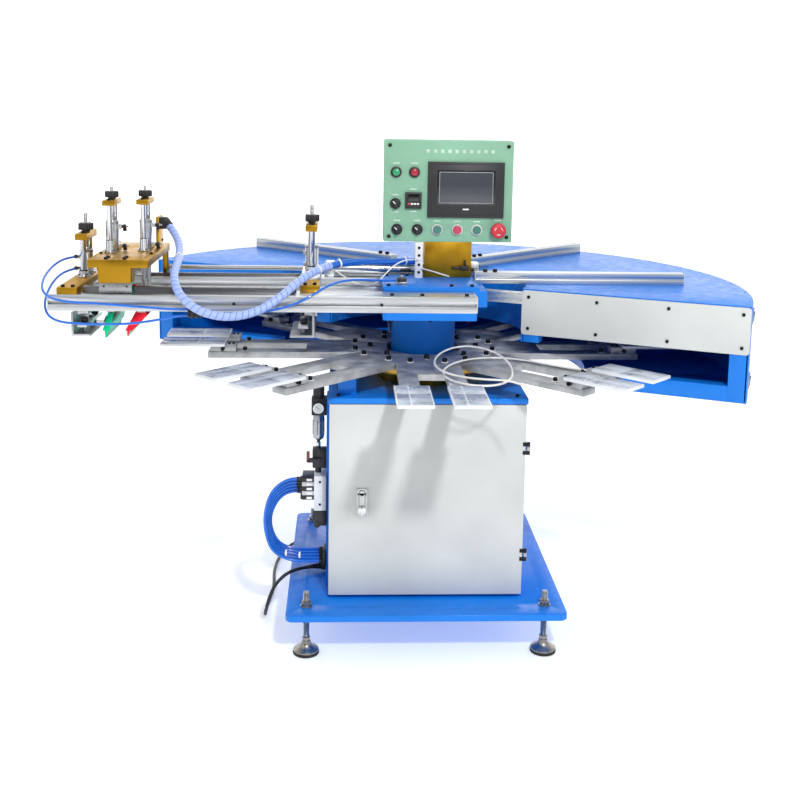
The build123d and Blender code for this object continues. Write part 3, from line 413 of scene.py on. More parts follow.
    def cad(self, node: str, choose: Finish | Callable[[Vector], Finish], bevel: float = 0.5,
            sharp: float = 28.0) -> None:
        """Add a CAD node's shape, merged and with its sharp edges bevelled.

        Args:
            node: The CAD node's name.
            choose: A finish, or a function of a face's centre in millimetres that gives one.
            bevel: Width of the bevel, in millimetres.
            sharp: Least angle between two faces whose edge is bevelled, in degrees.
        """
        shape = bmesh.new()
        shape.from_mesh(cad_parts[node].data)
        bmesh.ops.remove_doubles(shape, verts=shape.verts, dist=2e-6)
        bmesh.ops.dissolve_limit(shape, angle_limit=radians(1.0), verts=shape.verts, edges=shape.edges)
        for face in shape.faces:
            finish = choose if isinstance(choose, Finish) else choose(face.calc_center_median() / MM)
            if finish not in self.finishes:
                self.finishes.append(finish)
            face.material_index = self.finishes.index(finish)
        if bevel:
            edges = [edge for edge in shape.edges
                     if len(edge.link_faces) == 2 and edge.calc_face_angle(0) > radians(sharp)]
            bmesh.ops.bevel(shape, geom=edges, offset=bevel * MM,
                            **{**self.BEVEL, "clamp_overlap": False})
        self.absorb(shape)

    def mesh_object(self, smooth: float = 32.0) -> bpy.types.Object:
        """Make the object at the origin, with every edge softer than an angle in degrees shaded smooth."""
        data = bpy.data.meshes.new(self.name)
        self.mesh.to_mesh(data)
        self.mesh.free()
        for finish in self.finishes:
            data.materials.append(finish.material())
        data.polygons.foreach_set("use_smooth", [True] * len(data.polygons))
        data.set_sharp_from_angle(angle=radians(smooth))
        piece = bpy.data.objects.new(self.name, data)
        bpy.context.scene.collection.objects.link(piece)
        return piece

    def done(self) -> bpy.types.Object:
        """Make the object, ride it on its body and let it stand for its CAD nodes."""
        piece = self.mesh_object()
        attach(piece, self.body)
        if self.replaced:
            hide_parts(*self.replaced)
        log.info("%s: %d faces on %s", self.name, len(piece.data.polygons), self.body)
        return piece


def bare(name: str, body: str, node: str, finish: Finish, bevel: float) -> None:
    """Make a piece that is one CAD node and nothing else."""
    piece = Piece(name, body, node)
    piece.cad(node, finish, bevel)
    piece.done()


# ------------------------------------------------------------------ cords
class Route:
    """A cord's centre line: a smooth NURBS curve through listed points, in millimetres."""

    def __init__(self, name: str, points: Sequence[Point]) -> None:
        """Draw the curve as its own object."""
        data = bpy.data.curves.new(name, "CURVE")
        data.dimensions = "3D"
        data.resolution_u = 10
        spline = data.splines.new("NURBS")
        spline.points.add(len(points) - 1)
        for knot, point in zip(spline.points, points):
            knot.co = (*(Vector(point) * MM), 1)
        spline.order_u = 3
        spline.use_endpoint_u = True
        self.name, self.data = name, data

    def line(self) -> list[Vector]:
        """Give the points that the curve itself passes through, in metres."""
        bare = bpy.data.objects.new("bare", self.data)
        bpy.context.scene.collection.objects.link(bare)
        traced = bpy.data.meshes.new_from_object(bare)
        points = [vert.co.copy() for vert in traced.vertices]
        bpy.data.objects.remove(bare)
        bpy.data.meshes.remove(traced)
        return points

    def solid(self, diameter: float, finish: Finish, body: str, *replaced: str) -> bpy.types.Object:
        """Make the cord as a round curve of its own."""
        self.data.bevel_depth = diameter / 2 * MM
        self.data.bevel_resolution = 5
        self.data.use_fill_caps = True
        self.data.materials.append(finish.material())
        cord = bpy.data.objects.new(self.name, self.data)
        bpy.context.scene.collection.objects.link(cord)
        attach(cord, body)
        if replaced:
            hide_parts(*replaced)
        log.info("%s: cord on %s", self.name, body)
        return cord


def spaced(line: Sequence[Vector], step: float) -> list[Vector]:
    """Give points at even steps along a line, in metres, its two ends among them."""
    total = sum((after - before).length for before, after in zip(line, line[1:]))
    count = max(2, round(total / step))
    result, travelled, target = [line[0].copy()], 0.0, total / count
    for before, after in zip(line, line[1:]):
        run = (after - before).length
        while run > 0 and travelled + run >= target - 1e-9 and len(result) < count:
            result.append(before.lerp(after, (target - travelled) / run))
            target += total / count
        travelled += run
    result.append(line[-1].copy())
    return result


def level_frames(line: Sequence[Vector]) -> list[tuple[Vector, Vector, Vector]]:
    """Give each point of a line with two directions across it that don't twist."""
    frames: list[tuple[Vector, Vector, Vector]] = []
    side = Vector(UP)
    for index, point in enumerate(line):
        tangent = (line[min(index + 1, len(line) - 1)] - line[max(index - 1, 0)]).normalized()
        side = (side - tangent * side.dot(tangent)).normalized()
        frames.append((point, side, tangent.cross(side)))
    return frames


def tube(line: Sequence[Vector], radius: float, relief: Callable[[int, float], tuple[float, float]],
         sides: int = 24) -> bmesh.types.BMesh:
    """Bridge rings along a line into a closed tube.

    Args:
        line: The centre line, in metres.
        radius: The outer radius, in metres.
        relief: Share of the radius, and the shade, at a ring's number and an angle round it.
        sides: Corners of a ring.

    Returns:
        The tube, with the shade kept in a float attribute named wrap.
    """
    shape = bmesh.new()
    wrap = shape.verts.layers.float.new("wrap")
    before: list[bmesh.types.BMEdge] = []
    for number, (centre, side, across) in enumerate(level_frames(line)):
        ring = []
        for corner in range(sides):
            angle = tau * corner / sides
            share, shade = relief(number, angle)
            vert = shape.verts.new(centre + (side * cos(angle) + across * sin(angle)) * radius * share)
            vert[wrap] = shade
            ring.append(vert)
        edges = [shape.edges.new(pair) for pair in zip(ring, ring[1:] + ring[:1])]
        if before:
            bmesh.ops.bridge_loops(shape, edges=before + edges)
        else:
            bmesh.ops.contextual_create(shape, geom=edges)
        before = edges
    bmesh.ops.contextual_create(shape, geom=before)
    bmesh.ops.recalc_face_normals(shape, faces=shape.faces)
    return shape


@dataclass
class Cords:
    """The machine's hoses, its print-head bundle, the sensor cable and the mains lead."""

    bundle_d: float = 20.0
    hose_d: float = 6.0
    cable_d: float = 5.0
    mains_d: float = 9.0
    valve_hose_d: float = 8.0
    lead_d: float = 3.5
    wrapped: float = 0.74
    wrap_pitch: float = 15.0
    coil_centre: tuple[float, float] = (-140.0, 546.0)
    coil_r: float = 50.0
    coil_turns: int = 6

    BUNDLE = [(-670, 0, 1042), (-650, -22, 1021), (-637, -58, 1000), (-630, -106, 982), (-628, -160, 967),
              (-629, -214, 950), (-619, -260, 927), (-596, -289, 900), (-560, -302, 876), (-514, -304, 862),
              (-462, -299, 861), (-410, -290, 876), (-364, -273, 905), (-324, -238, 938), (-284, -192, 958),
              (-236, -148, 968), (-178, -108, 969), (-124, -72, 965), (-76, -38, 960), (-27.5, -6, 957)]
    UPPER = [(-902, -35, 965), (-918, -52, 966), (-935, -92, 962), (-946, -142, 950), (-950, -196, 932),
             (-942, -242, 912), (-915, -270, 897), (-868, -276, 889), (-796, -270, 885), (-722, -273, 880),
             (-654, -269, 874), (-618, -264, 871), (-588, -258, 870)]
    LOWER = [(-902, -35, 935), (-920, -54, 934), (-938, -96, 925), (-947, -146, 905), (-948, -196, 878),
             (-934, -236, 852), (-902, -258, 838), (-850, -264, 834), (-784, -260, 832), (-716, -264, 836),
             (-656, -265, 846), (-618, -260, 854), (-588, -257, 856)]
    HEAD = [(-556, -257, 864), (-522, -262, 862), (-470, -268, 861), (-402, -267, 867), (-338, -265, 882),
            (-290, -255, 906), (-254, -230, 926), (-216, -196, 934), (-172, -164, 932), (-128, -140, 926),
            (-80, -126, 924)]
    SAGGING = [(-240, -146, 955), (-224, -145, 944), (-202, -140, 928), (-176, -134, 914), (-150, -128, 909),
               (-126, -116, 918), (-106, -100, 938), (-84, -82, 957), (-58, -60, 967), (-32, -38, 967),
               (-16, -22.5, 963)]
    SHORT = [(-10, -22.5, 941), (0, -36, 940), (20, -46, 936), (42, -50, 930), (62, -50, 924)]
    CABLE = [(390.4, -305.5, 735), (358, -276, 731), (300, -222, 730), (236, -172, 731), (164, -152, 731),
             (96, -178, 731), (46, -240, 730), (24, -318, 730), (38, -396, 731), (84, -448, 732),
             (142, -450, 733), (182, -402, 736), (196, -326, 742), (188, -246, 750), (158, -176, 756),
             (110, -136, 758), (60, -140, 752), (24, -188, 745), (8, -262, 741), (18, -338, 741),
             (56, -402, 742), (112, -436, 744), (166, -448, 746), (206, -472, 738), (226, -512, 730)]
    MAINS = [(-262, -80, 140), (-288, -86, 140), (-324, -102, 142), (-360, -124, 137), (-389, -142, 112),
             (-404, -148, 75), (-412, -138, 38), (-416, -108, 14), (-418, -66, 4.8), (-412, 4, 4.8),
             (-404, 92, 4.8), (-412, 196, 4.8), (-404, 298, 4.8), (-376, 392, 4.8),
             (-318, 456, 4.8), (-244, 484, 4.8), (-180, 494, 4.8), (-140, 496, 4.8)]

    def build(self) -> None:
        """Make every cord."""
        self.bundle()
        self.rail_hoses()
        self.signal_leads()
        self.valve_hoses()
        self.sensor_cable()
        self.mains_lead()

    def bundle(self) -> None:
        """Make the spirally wrapped bundle to the print carriage."""
        step = 1.3
        line = spaced(Route("bundle_route", self.BUNDLE).line(), step * MM)
        turn_per_ring = tau * step / self.wrap_pitch
        first_bare = round(self.wrapped * len(line))

        def winding(number: int, angle: float) -> tuple[float, float]:
            """Give the outline and shade: turns of wrap with a narrow gap, then the bare tubes."""
            if number > first_bare:
                return 0.70 + 0.20 * abs(cos(2.5 * angle + 0.02 * number)), 0.0
            phase = (number * turn_per_ring + angle) % tau / tau
            shade = min(1.0, 0.25 + min(phase, 0.93 - phase) * 16) if phase < 0.93 else 0.0
            return 0.92 + 0.08 * shade, shade

        piece = Piece("hose_bundle_wrap", "frame")
        piece.finishes.append(WRAP)
        piece.absorb(tube(line, self.bundle_d / 2 * MM, winding, 28))
        for share in (0.14, 0.705, 0.77, 0.97):
            self.tie(piece, line, share, self.bundle_d / 2)
        bundle = piece.mesh_object()
        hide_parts("hose_bundle")
        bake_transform(bundle)
        log.info("hose bundle: %d rings", len(line))

    def tie(self, piece: Piece, line: Sequence[Vector], share: float, radius: float) -> None:
        """Add a white cable tie round a line, at a share of its length.

        Args:
            piece: The piece that takes the tie.
            line: The line it goes round, in metres.
            share: How far along the line it stands, 0 to 1.
            radius: The bundle's radius, in millimetres.
        """
        index = round(share * (len(line) - 2))
        point, way = line[index] / MM, line[index + 1] - line[index]
        outline = [(radius - 0.6, -2), (radius + 0.7, -2), (radius + 0.9, 0), (radius + 0.7, 2),
                   (radius - 0.6, 2), (radius - 0.6, -2)]
        piece.lathe(point, way, outline, WHITE, 28)
        piece.box((-2.5, radius - 1, -2.5), (2.5, radius + 3.2, 2.5), WHITE, 0.5,
                  Matrix.Translation(point) @ turned_to(way))

    def rail_hoses(self) -> None:
        """Make the three blue tubes along the front rail."""
        for name, points, length in (("upper_hose", self.UPPER, 596), ("lower_hose", self.LOWER, 589),
                                     ("head_hose", self.HEAD, 528)):
            hose = Route(name, points).solid(self.hose_d, TUBE, "frame", "rail_hoses")

    def signal_leads(self) -> None:
        """Make the two thin white leads at the cable trunk."""
        for name, points, length in (("sagging_lead", self.SAGGING, 290), ("short_lead", self.SHORT, 83)):
            lead = Route(name, points).solid(self.lead_d, WHITE_SHEATH, "frame", "signal_leads")

    def valve_hoses(self) -> None:
        """Make the five blue tubes that loop from the valves to the block below them."""
        for number, length in enumerate((381, 362, 344, 326, 308)):
            y = -171 + 10.5 * number
            top, end = 414 - 12 * number, 192 + 4 * number
            drop, out = top - end, -412 + 3 * number
            points = [(-326, y, top), (-351, y, top + 1), (out + 18, y, top - 0.14 * drop),
                      (out, y - 1, top - 0.4 * drop), (out + 1, y + 1, end + 0.36 * drop),
                      (out + 18, y, end + 0.12 * drop), (-350, y, end + 2), (-303, y, end - 1), (-262, y, end)]
            hose = Route(f"valve_hose_{number}", points).solid(self.valve_hose_d, TUBE, "frame", "valve_hoses")
        ties = Piece("valve_hose_ties", "frame")
        for x, z in ((-357, 206), (-322, 200)):
            place = Matrix.Translation((x, -150, z)) @ spun(-21, "X")
            for lift in (-6.6, 6.6):
                ties.box((-2, -27, lift - 0.7), (2, 27, lift + 0.7), WHITE, 0.4, place)
            for side in (-27, 27):
                ties.box((-2, side - 0.7, -7.2), (2, side + 0.7, 7.2), WHITE, 0.4, place)
            ties.box((-2.8, -31, -3), (2.8, -27, 3), WHITE, 0.6, place)
        ties.done()

    def sensor_cable(self) -> None:
        """Make the white cable that loops over the turntable's arms."""
        cable = Route("sensor_cable_run", self.CABLE).solid(self.cable_d, WHITE_SHEATH, "carousel",
                                                             "sensor_cable")

    def coil_points(self) -> list[Point]:
        """Give the mains lead's put-away coil: turns wound in two layers behind the cabinet."""
        steps = 14
        x, y = self.coil_centre
        points = []
        for step in range(1, self.coil_turns * steps + steps // 2):
            turn = step / steps
            angle = -pi / 2 + tau * turn
            radius = self.coil_r + 5.0 * cos(pi * turn)
            points.append((x + radius * cos(angle), y + radius * sin(angle), 4.8 + 18 * turn / self.coil_turns))
        return points

    def mains_lead(self) -> None:
        """Make the mains lead, its coil and its plug."""
        x, y = self.coil_centre
        tail = [(x + 22, y + self.coil_r, 22.8), (x + 60, y + self.coil_r, 22.8)]
        lead = Route("mains_lead_run", self.MAINS + self.coil_points() + tail)
        line = lead.line()
        cord = lead.solid(self.mains_d, SHEATH, "frame", "mains_lead", "mains_coil")
        self.strain_relief()
        plug = self.plug(x + 60, y + self.coil_r, 22.8)

    def strain_relief(self) -> None:
        """Make the ribbed taper where the mains lead leaves its gland."""
        relief = Piece("mains_strain_relief", "frame")
        outline = [(0, 0)]
        ribs, reach = 7, 38.0
        for rib in range(ribs):
            radius = 9.0 - 3.6 * rib / (ribs - 1)
            outline += [(radius, reach * rib / ribs), (radius, reach * (rib + 0.6) / ribs),
                        (radius - 1.0, reach * (rib + 0.7) / ribs), (radius - 1.0, reach * (rib + 0.95) / ribs)]
        outline += [(0, reach)]
        relief.lathe((-262, -80, 140), (-1, -0.2, 0), outline, RUBBER)
        relief.done()

    def plug(self, x: float, y: float, z: float) -> bpy.types.Object:
        """Make the plug on the mains lead's end.

        Args:
            x: Where the cord enters it, in millimetres.
            y: Its axis.
            z: Its axis.

        Returns:
            The plug.
        """
        plug = Piece("mains_plug_body", "frame", "mains_plug")
        plug.lathe((x, y, z), RIGHT, [(0, 0), (5.6, 0), (6.4, 4), (5.8, 6), (7.4, 10), (6.8, 12), (8.8, 17),
                                          (8.4, 19), (11, 28), (17.0, 31), (18, 33), (18, 58), (17, 61), (0,
                                                                                                          61.8)],
                   RUBBER, 48)
        for pin in (-9.5, 9.5):
            plug.rod((x + 61, y + pin, z), (x + 81, y + pin, z), 2.3, STEEL, bevel=0.7)
        plug.box((x + 33, y - 17, z + 13), (x + 57, y + 17, z + 16.5), RUBBER, 1.0)
        return plug.done()


# ------------------------------------------------------------------ base and cabinet
def push_fitting(piece: Piece, seat: Point, out: Point, turn: Point, needle: bool = False) -> None:
    """Add a push-in elbow fitting.

    Args:
        piece: The piece that takes it.
        seat: Where it screws in.
        out: The way it screws out.
        turn: The way its tube leaves.
        needle: Whether it carries a flow control screw.
    """
    foot, way, side = Vector(seat), Vector(out).normalized(), Vector(turn).normalized()
    piece.nut(foot, way, 9.0, 3.0, CHROME)
    piece.rod(foot + way * 3, foot + way * 13, 4.6, BLACK, sides=24)
    piece.rod(foot + way * 9 - side * 4.6, foot + way * 9 + side * 9, 4.6, BLACK, sides=24)
    piece.rod(foot + way * 9 + side * 9, foot + way * 9 + side * 11.5, 5.2, BLACK, sides=24)
    if needle:
        piece.rod(foot + way * 13, foot + way * 15, 3.4, CHROME, sides=16, bevel=0.2)
        piece.rod(foot + way * 15, foot + way * 20, 2.2, CHROME, sides=16, bevel=0.3)


@dataclass
class Base:
    """The base plate on its four levelling feet."""

    foot_x: float = 300.0
    foot_y: float = 290.0
    plate_under: float = 109.0
    plate_top: float = 125.0
    stud_r: float = 8.0

    def build(self) -> None:
        """Make the plate and the feet."""
        plate = Piece("base_plate_enamelled", "frame", "base_plate")
        plate.cad("base_plate", BLUE, 1.0)
        for x in (-210, 210):
            for y in (-205, 215):
                plate.cap_screw((x, y, self.plate_top + 30), UP, 6, 7, BLACK_STEEL, STEEL)
        plate.done()
        feet = Piece("levelling_feet_turned", "frame", "levelling_feet")
        for x in (-self.foot_x, self.foot_x):
            for y in (-self.foot_y, self.foot_y):
                self.foot(feet, x, y)
        feet.done()

    def foot(self, feet: Piece, x: float, y: float) -> None:
        """Add one foot: sole, bell, threaded stud and its two nuts."""
        feet.lathe((x, y, 0), UP, [(0, 0), (30, 0), (32.4, 1.2), (33, 3), (33, 6.5), (32, 8), (0, 8)], RUBBER,
                   56)
        feet.lathe((x, y, 8), UP, [(0, 0), (31.4, 0), (32, 1), (32, 3.4), (30, 5), (23, 8.6), (16.5, 13),
                                   (13, 18), (11.6, 22), (11, 26), (9.6, 27), (0, 27)], ZINC, 56)
        feet.nut((x, y, 35), UP, 19, 9, ZINC)
        feet.thread((x, y, 44), (x, y, self.plate_top + 37), self.stud_r, STEEL, 2.0)
        for z, washer in ((self.plate_under - 13, -1.6 + 13), (self.plate_top, 0)):
            feet.rod((x, y, z + washer), (x, y, z + washer + 1.6), 15.5, STEEL, bevel=0.3)
            feet.nut((x, y, z if washer else z + 1.6), UP, 24, 11.4, ZINC)


@dataclass
class Cabinet:
    """The welded cabinet with its panels, door, hinges and lock."""

    deck: float = 648.0
    side: float = 248.0
    lock_x: float = -163.0
    lock_z: float = 381.0

    def build(self) -> None:
        """Make the cabinet."""
        frame_piece = Piece("cabinet_frame_welded", "frame", "cabinet_frame")
        frame_piece.cad("cabinet_frame", self.frame_finish, 0.8)
        for x, y in ((-225, -225), (225, -225), (-225, 225), (225, 225), (0, -225), (0, 225)):
            frame_piece.cap_screw((x, y, self.deck), UP, 5, 5)
        frame_piece.cap_screw((-203, -195, self.deck + 40), UP, 7, 8, BLACK_STEEL, STEEL)
        frame_piece.nut((-self.side - 14, -80, 140), LEFT, 20, 5, BLACK)
        frame_piece.done()
        panels = Piece("cabinet_side_and_back_panels", "frame", "cabinet_panels")
        panels.cad("cabinet_panels", OFF_WHITE, 0.4)
        self.panel_dress(panels)
        panels.done()
        self.door()

    def frame_finish(self, centre: Vector) -> Finish:
        """Give the finish of a face of the frame: gland, hinge leaves or enamel."""
        if centre.x < -self.side - 0.5:
            return BLACK
        if centre.x > self.side + 0.5 and centre.z < 600:
            return STEEL
        return BLUE

    def panel_dress(self, panels: Piece) -> None:
        """Add the panels' screws and the back panel's louvres."""
        for z in (170, 380, 590):
            for y in (-190, 205):
                panels.cap_screw((self.side - 3, y, z), RIGHT, 3.6, 2.2)
            for x in (-205, 205):
                panels.cap_screw((x, self.side - 3, z), BACK, 3.6, 2.2)
        for row in range(7):
            z = 480 + 14 * row
            slope = Matrix.Translation((0, self.side - 4, z)) @ spun(24, "X")
            panels.box((-90, 0, -5), (90, 2.2, 5), OFF_WHITE, 1.0, slope)

    def door(self) -> None:
        """Make the folded door with its hinges, lock plate and key lever."""
        bare("cabinet_door_folded", "door", "cabinet_door", OFF_WHITE, 1.2)
        metal = Piece("door_hinges_and_lock", "door", "door_hardware")
        metal.cad("door_hardware", self.lock_finish, 0.5)
        x, z = self.lock_x, self.lock_z
        for front, half, grown, finish in ((-254.2, 11.5, 0.0, PALE_GREY), (-254.7, 8.2, 0.0, BLACK),
                                           (-255.3, 7.0, -0.6, PALE_GREY)):
            for lift in (-24 - grown, 24 + grown):
                metal.rod((x, -252.5, z + lift), (x, front, z + lift), half, finish, sides=40)
            metal.box((x - half, front, z - 24), (x + half, -252.5, z + 24), finish, 0.3)
        metal.box((x - 6.4, -255.8, z - 9), (x + 6.4, -255, z - 8), BLACK, 0.1)
        metal.done()
        bare("lock_key_lever", "lock", "lock_lever", CHROME, 0.6)

    def lock_finish(self, centre: Vector) -> Finish:
        """Give the finish of a face of the door's hardware."""
        if centre.x > 0:
            return BLACK_STEEL
        return GREY if centre.y > -249 else OFF_WHITE


@dataclass
class Drive:
    """The cam indexer, its input shaft, the gear motor and the electrics tray."""

    shaft_z: float = 540.0
    motor_x: float = 182.0
    motor_r: float = 46.0

    def build(self) -> None:
        """Make what turns the table and what switches it."""
        indexer = Piece("cam_indexer_case", "frame", "cam_indexer")
        indexer.cad("cam_indexer", CASTING, 1.6)
        for x in (-128, 128):
            for y in (-118, 118):
                indexer.cap_screw((x, y, 622), DOWN, 5, 6, BLACK_STEEL)
        for angle in range(0, 360, 60):
            place = polar(24, angle)
            indexer.cap_screw((120, place.x, self.shaft_z + place.y), RIGHT, 2.6, 2.6, BLACK_STEEL)
        indexer.rod((-70, -110, 500), (-70, -116, 500), 8, BRASS, sides=6)
        indexer.done()
        shaft = Piece("index_shaft_and_hub", "index_drive", "index_shaft")
        shaft.cad("index_shaft", STEEL, 0.6)
        shaft.cap_screw((135, 0, self.shaft_z + 25), UP, 3, 3, BLACK_STEEL)
        shaft.box((147, -2.5, self.shaft_z + 12), (149, 2.5, self.shaft_z + 15.5), BRASS, 0.4)
        shaft.done()
        self.motor()
        self.electrics()

    def motor(self) -> None:
        """Make the gear motor with its finned stator, fan cowl and terminal box."""
        motor = Piece("gear_motor_finned", "frame", "gear_motor")
        motor.cad("gear_motor", CASTING, 1.2)
        outline = [(0, 0)]
        fins, pitch = 22, 5.0
        for fin in range(fins):
            y = 6 + fin * pitch
            outline += [(self.motor_r, y), (self.motor_r, y + 2), (self.motor_r + 2.6, y + 2.2),
                        (self.motor_r + 2.6, y + 4.0), (self.motor_r, y + 4.4)]
        outline += [(self.motor_r, 6 + fins * pitch), (0, 6 + fins * pitch)]
        motor.lathe((self.motor_x, 52, self.shaft_z), BACK, outline, CASTING, 48)
        motor.lathe((self.motor_x, 176, self.shaft_z), BACK,
                    [(0, 0), (48.6, 0), (48.8, 10), (44, 14.2), (0, 14.4)],
                    BLACK, 48)
        motor.box((self.motor_x - 26, 90, self.shaft_z + 40), (self.motor_x + 26, 150, self.shaft_z + 66),
                  CASTING, 2)
        motor.box((self.motor_x - 27, 89, self.shaft_z + 62), (self.motor_x + 27, 151, self.shaft_z + 67),
                  GREY, 1)
        motor.done()

    def electrics(self) -> None:
        """Make the tray with its modules, ducts, relays and terminals."""
        tray = Piece("electrics_tray_wired", "frame", "electrics_tray")
        tray.cad("electrics_tray", lambda centre: STEEL if centre.y > 213.9 else ELECTRIC, 0.8)
        for relay in range(10):
            x = -172.5 + 30 * relay
            tray.box((x - 9, 161, 222), (x + 9, 165, 256), RELAY, 1)
            tray.box((x - 2, 159.6, 214), (x + 2, 162, 218), GREEN, 0.4)
        for z in (283, 300):
            tray.box((-200, 176, z), (200, 214, z + 12), GREY, 1.0)
            for slot in range(39):
                tray.box((-196 + 10.2 * slot, 174.8, z + 1), (-190 + 10.2 * slot, 176.4, z + 11), PALE_GREY, 0)
        for x0, width in ((-190, 120), (-55, 70), (30, 45), (90, 90)):
            for terminal in range(width // 9):
                tray.box((x0 + 4 + 9 * terminal, 148.4, 334), (x0 + 10 + 9 * terminal, 150.6, 342),
                         GREEN_METAL, 0.3)
            tray.box((x0 + 8, 148.8, 372), (x0 + width - 8, 150.4, 398), BLACK, 0.6)
        tray.done()


# ------------------------------------------------------------------ carousel
@dataclass
class Carousel:
    """The turntable: gold disc, eight forked arms, paired platens and their fittings."""

    stations: int = 8
    arm_top: float = 725.0
    platen_top: float = 751.0
    platen_in: float = 519.0
    platen_out: float = 685.0
    platen_side: float = 60.0
    platen_w: float = 80.0
    cross_share: float = 0.42
    screw_r: float = 187.0

    def build(self) -> None:
        """Make everything that turns with the table."""
        disc = Piece("table_disc_turned", "carousel", "table_disc")
        disc.cad("table_disc", GOLD_DISC, 1.0)
        for station in range(self.stations * 2):
            disc.cap_screw(polar(106, 22.5 * station + 11, 693), DOWN, 4, 4)
        disc.done()
        bare("arms_milled", "carousel", "arms", MILLED, 0.9)
        screws = Piece("arm_cap_screws", "carousel", "arm_screws")
        for station in range(self.stations):
            for side in (-13.5, 13.5):
                seat = polar(self.screw_r, station * 45 + side, self.arm_top)
                screws.cap_screw(seat, UP, 6.5, 9, BLACK_STEEL, WHITE)
            screws.cap_screw(polar(self.screw_r - 45, station * 45, self.arm_top), UP, 6.5, 9,
                             BLACK_STEEL, STEEL)
        screws.done()
        self.platens()

    def platens(self) -> None:
        """Make the paired platens, each on its own bracket."""
        platens = Piece("platens_filmed", "carousel", "platens")
        for station in range(self.stations):
            place = spun(station * 45, "Z")
            for side in (-self.platen_side, self.platen_side):
                self.platen(platens, place, side)
        platens.done()

    def platen(self, platens: Piece, place: Matrix, side: float) -> None:
        """Add a platen, its film in four fields, its bracket and its screws.

        Args:
            platens: The piece that takes it.
            place: The turn of its station.
            side: Its offset to the left of the station's ray.
        """
        half, top = self.platen_w / 2, self.platen_top
        platens.box((self.platen_in, side - half, top - 8), (self.platen_out, side + half, top - 0.5), PLATE,
                    0.9,
                    place)
        cross = self.platen_out - (self.platen_out - self.platen_in) * (1 - self.cross_share)
        middle = side - 9
        for x0, x1 in ((self.platen_in + 3, cross - 1.4), (cross + 1.4, self.platen_out - 3)):
            for y0, y1 in ((side - half + 3, middle - 1.4), (middle + 1.4, side + half - 3)):
                platens.box((x0, y0, top - 0.6), (x1, y1, top), FILM, 0.2, place)
        platens.box((492, side - 22, self.arm_top), (559, side + 18, top - 8), MILLED, 1.2, place)
        for x in (500, 511):
            platens.cap_screw(place @ Vector((x, side - 2, top - 8)), UP, 3.4, 3)
        outwards = -1 if side < 0 else 1
        face = side + (18 if side > 0 else -22)
        way = place.to_3x3() @ Vector((0, outwards, 0))
        platens.cap_screw(place @ Vector((526, face, top - 17)), way, 5.5, 7)
        platens.lathe(place @ Vector((470, side, self.arm_top)), UP, [(0, 0), (8.5, 0), (8.5, 1.6), (0, 1.6)],
                      WHITE, 28)
        platens.cap_screw(place @ Vector((470, side, self.arm_top + 1.6)), UP, 5.5, 8)


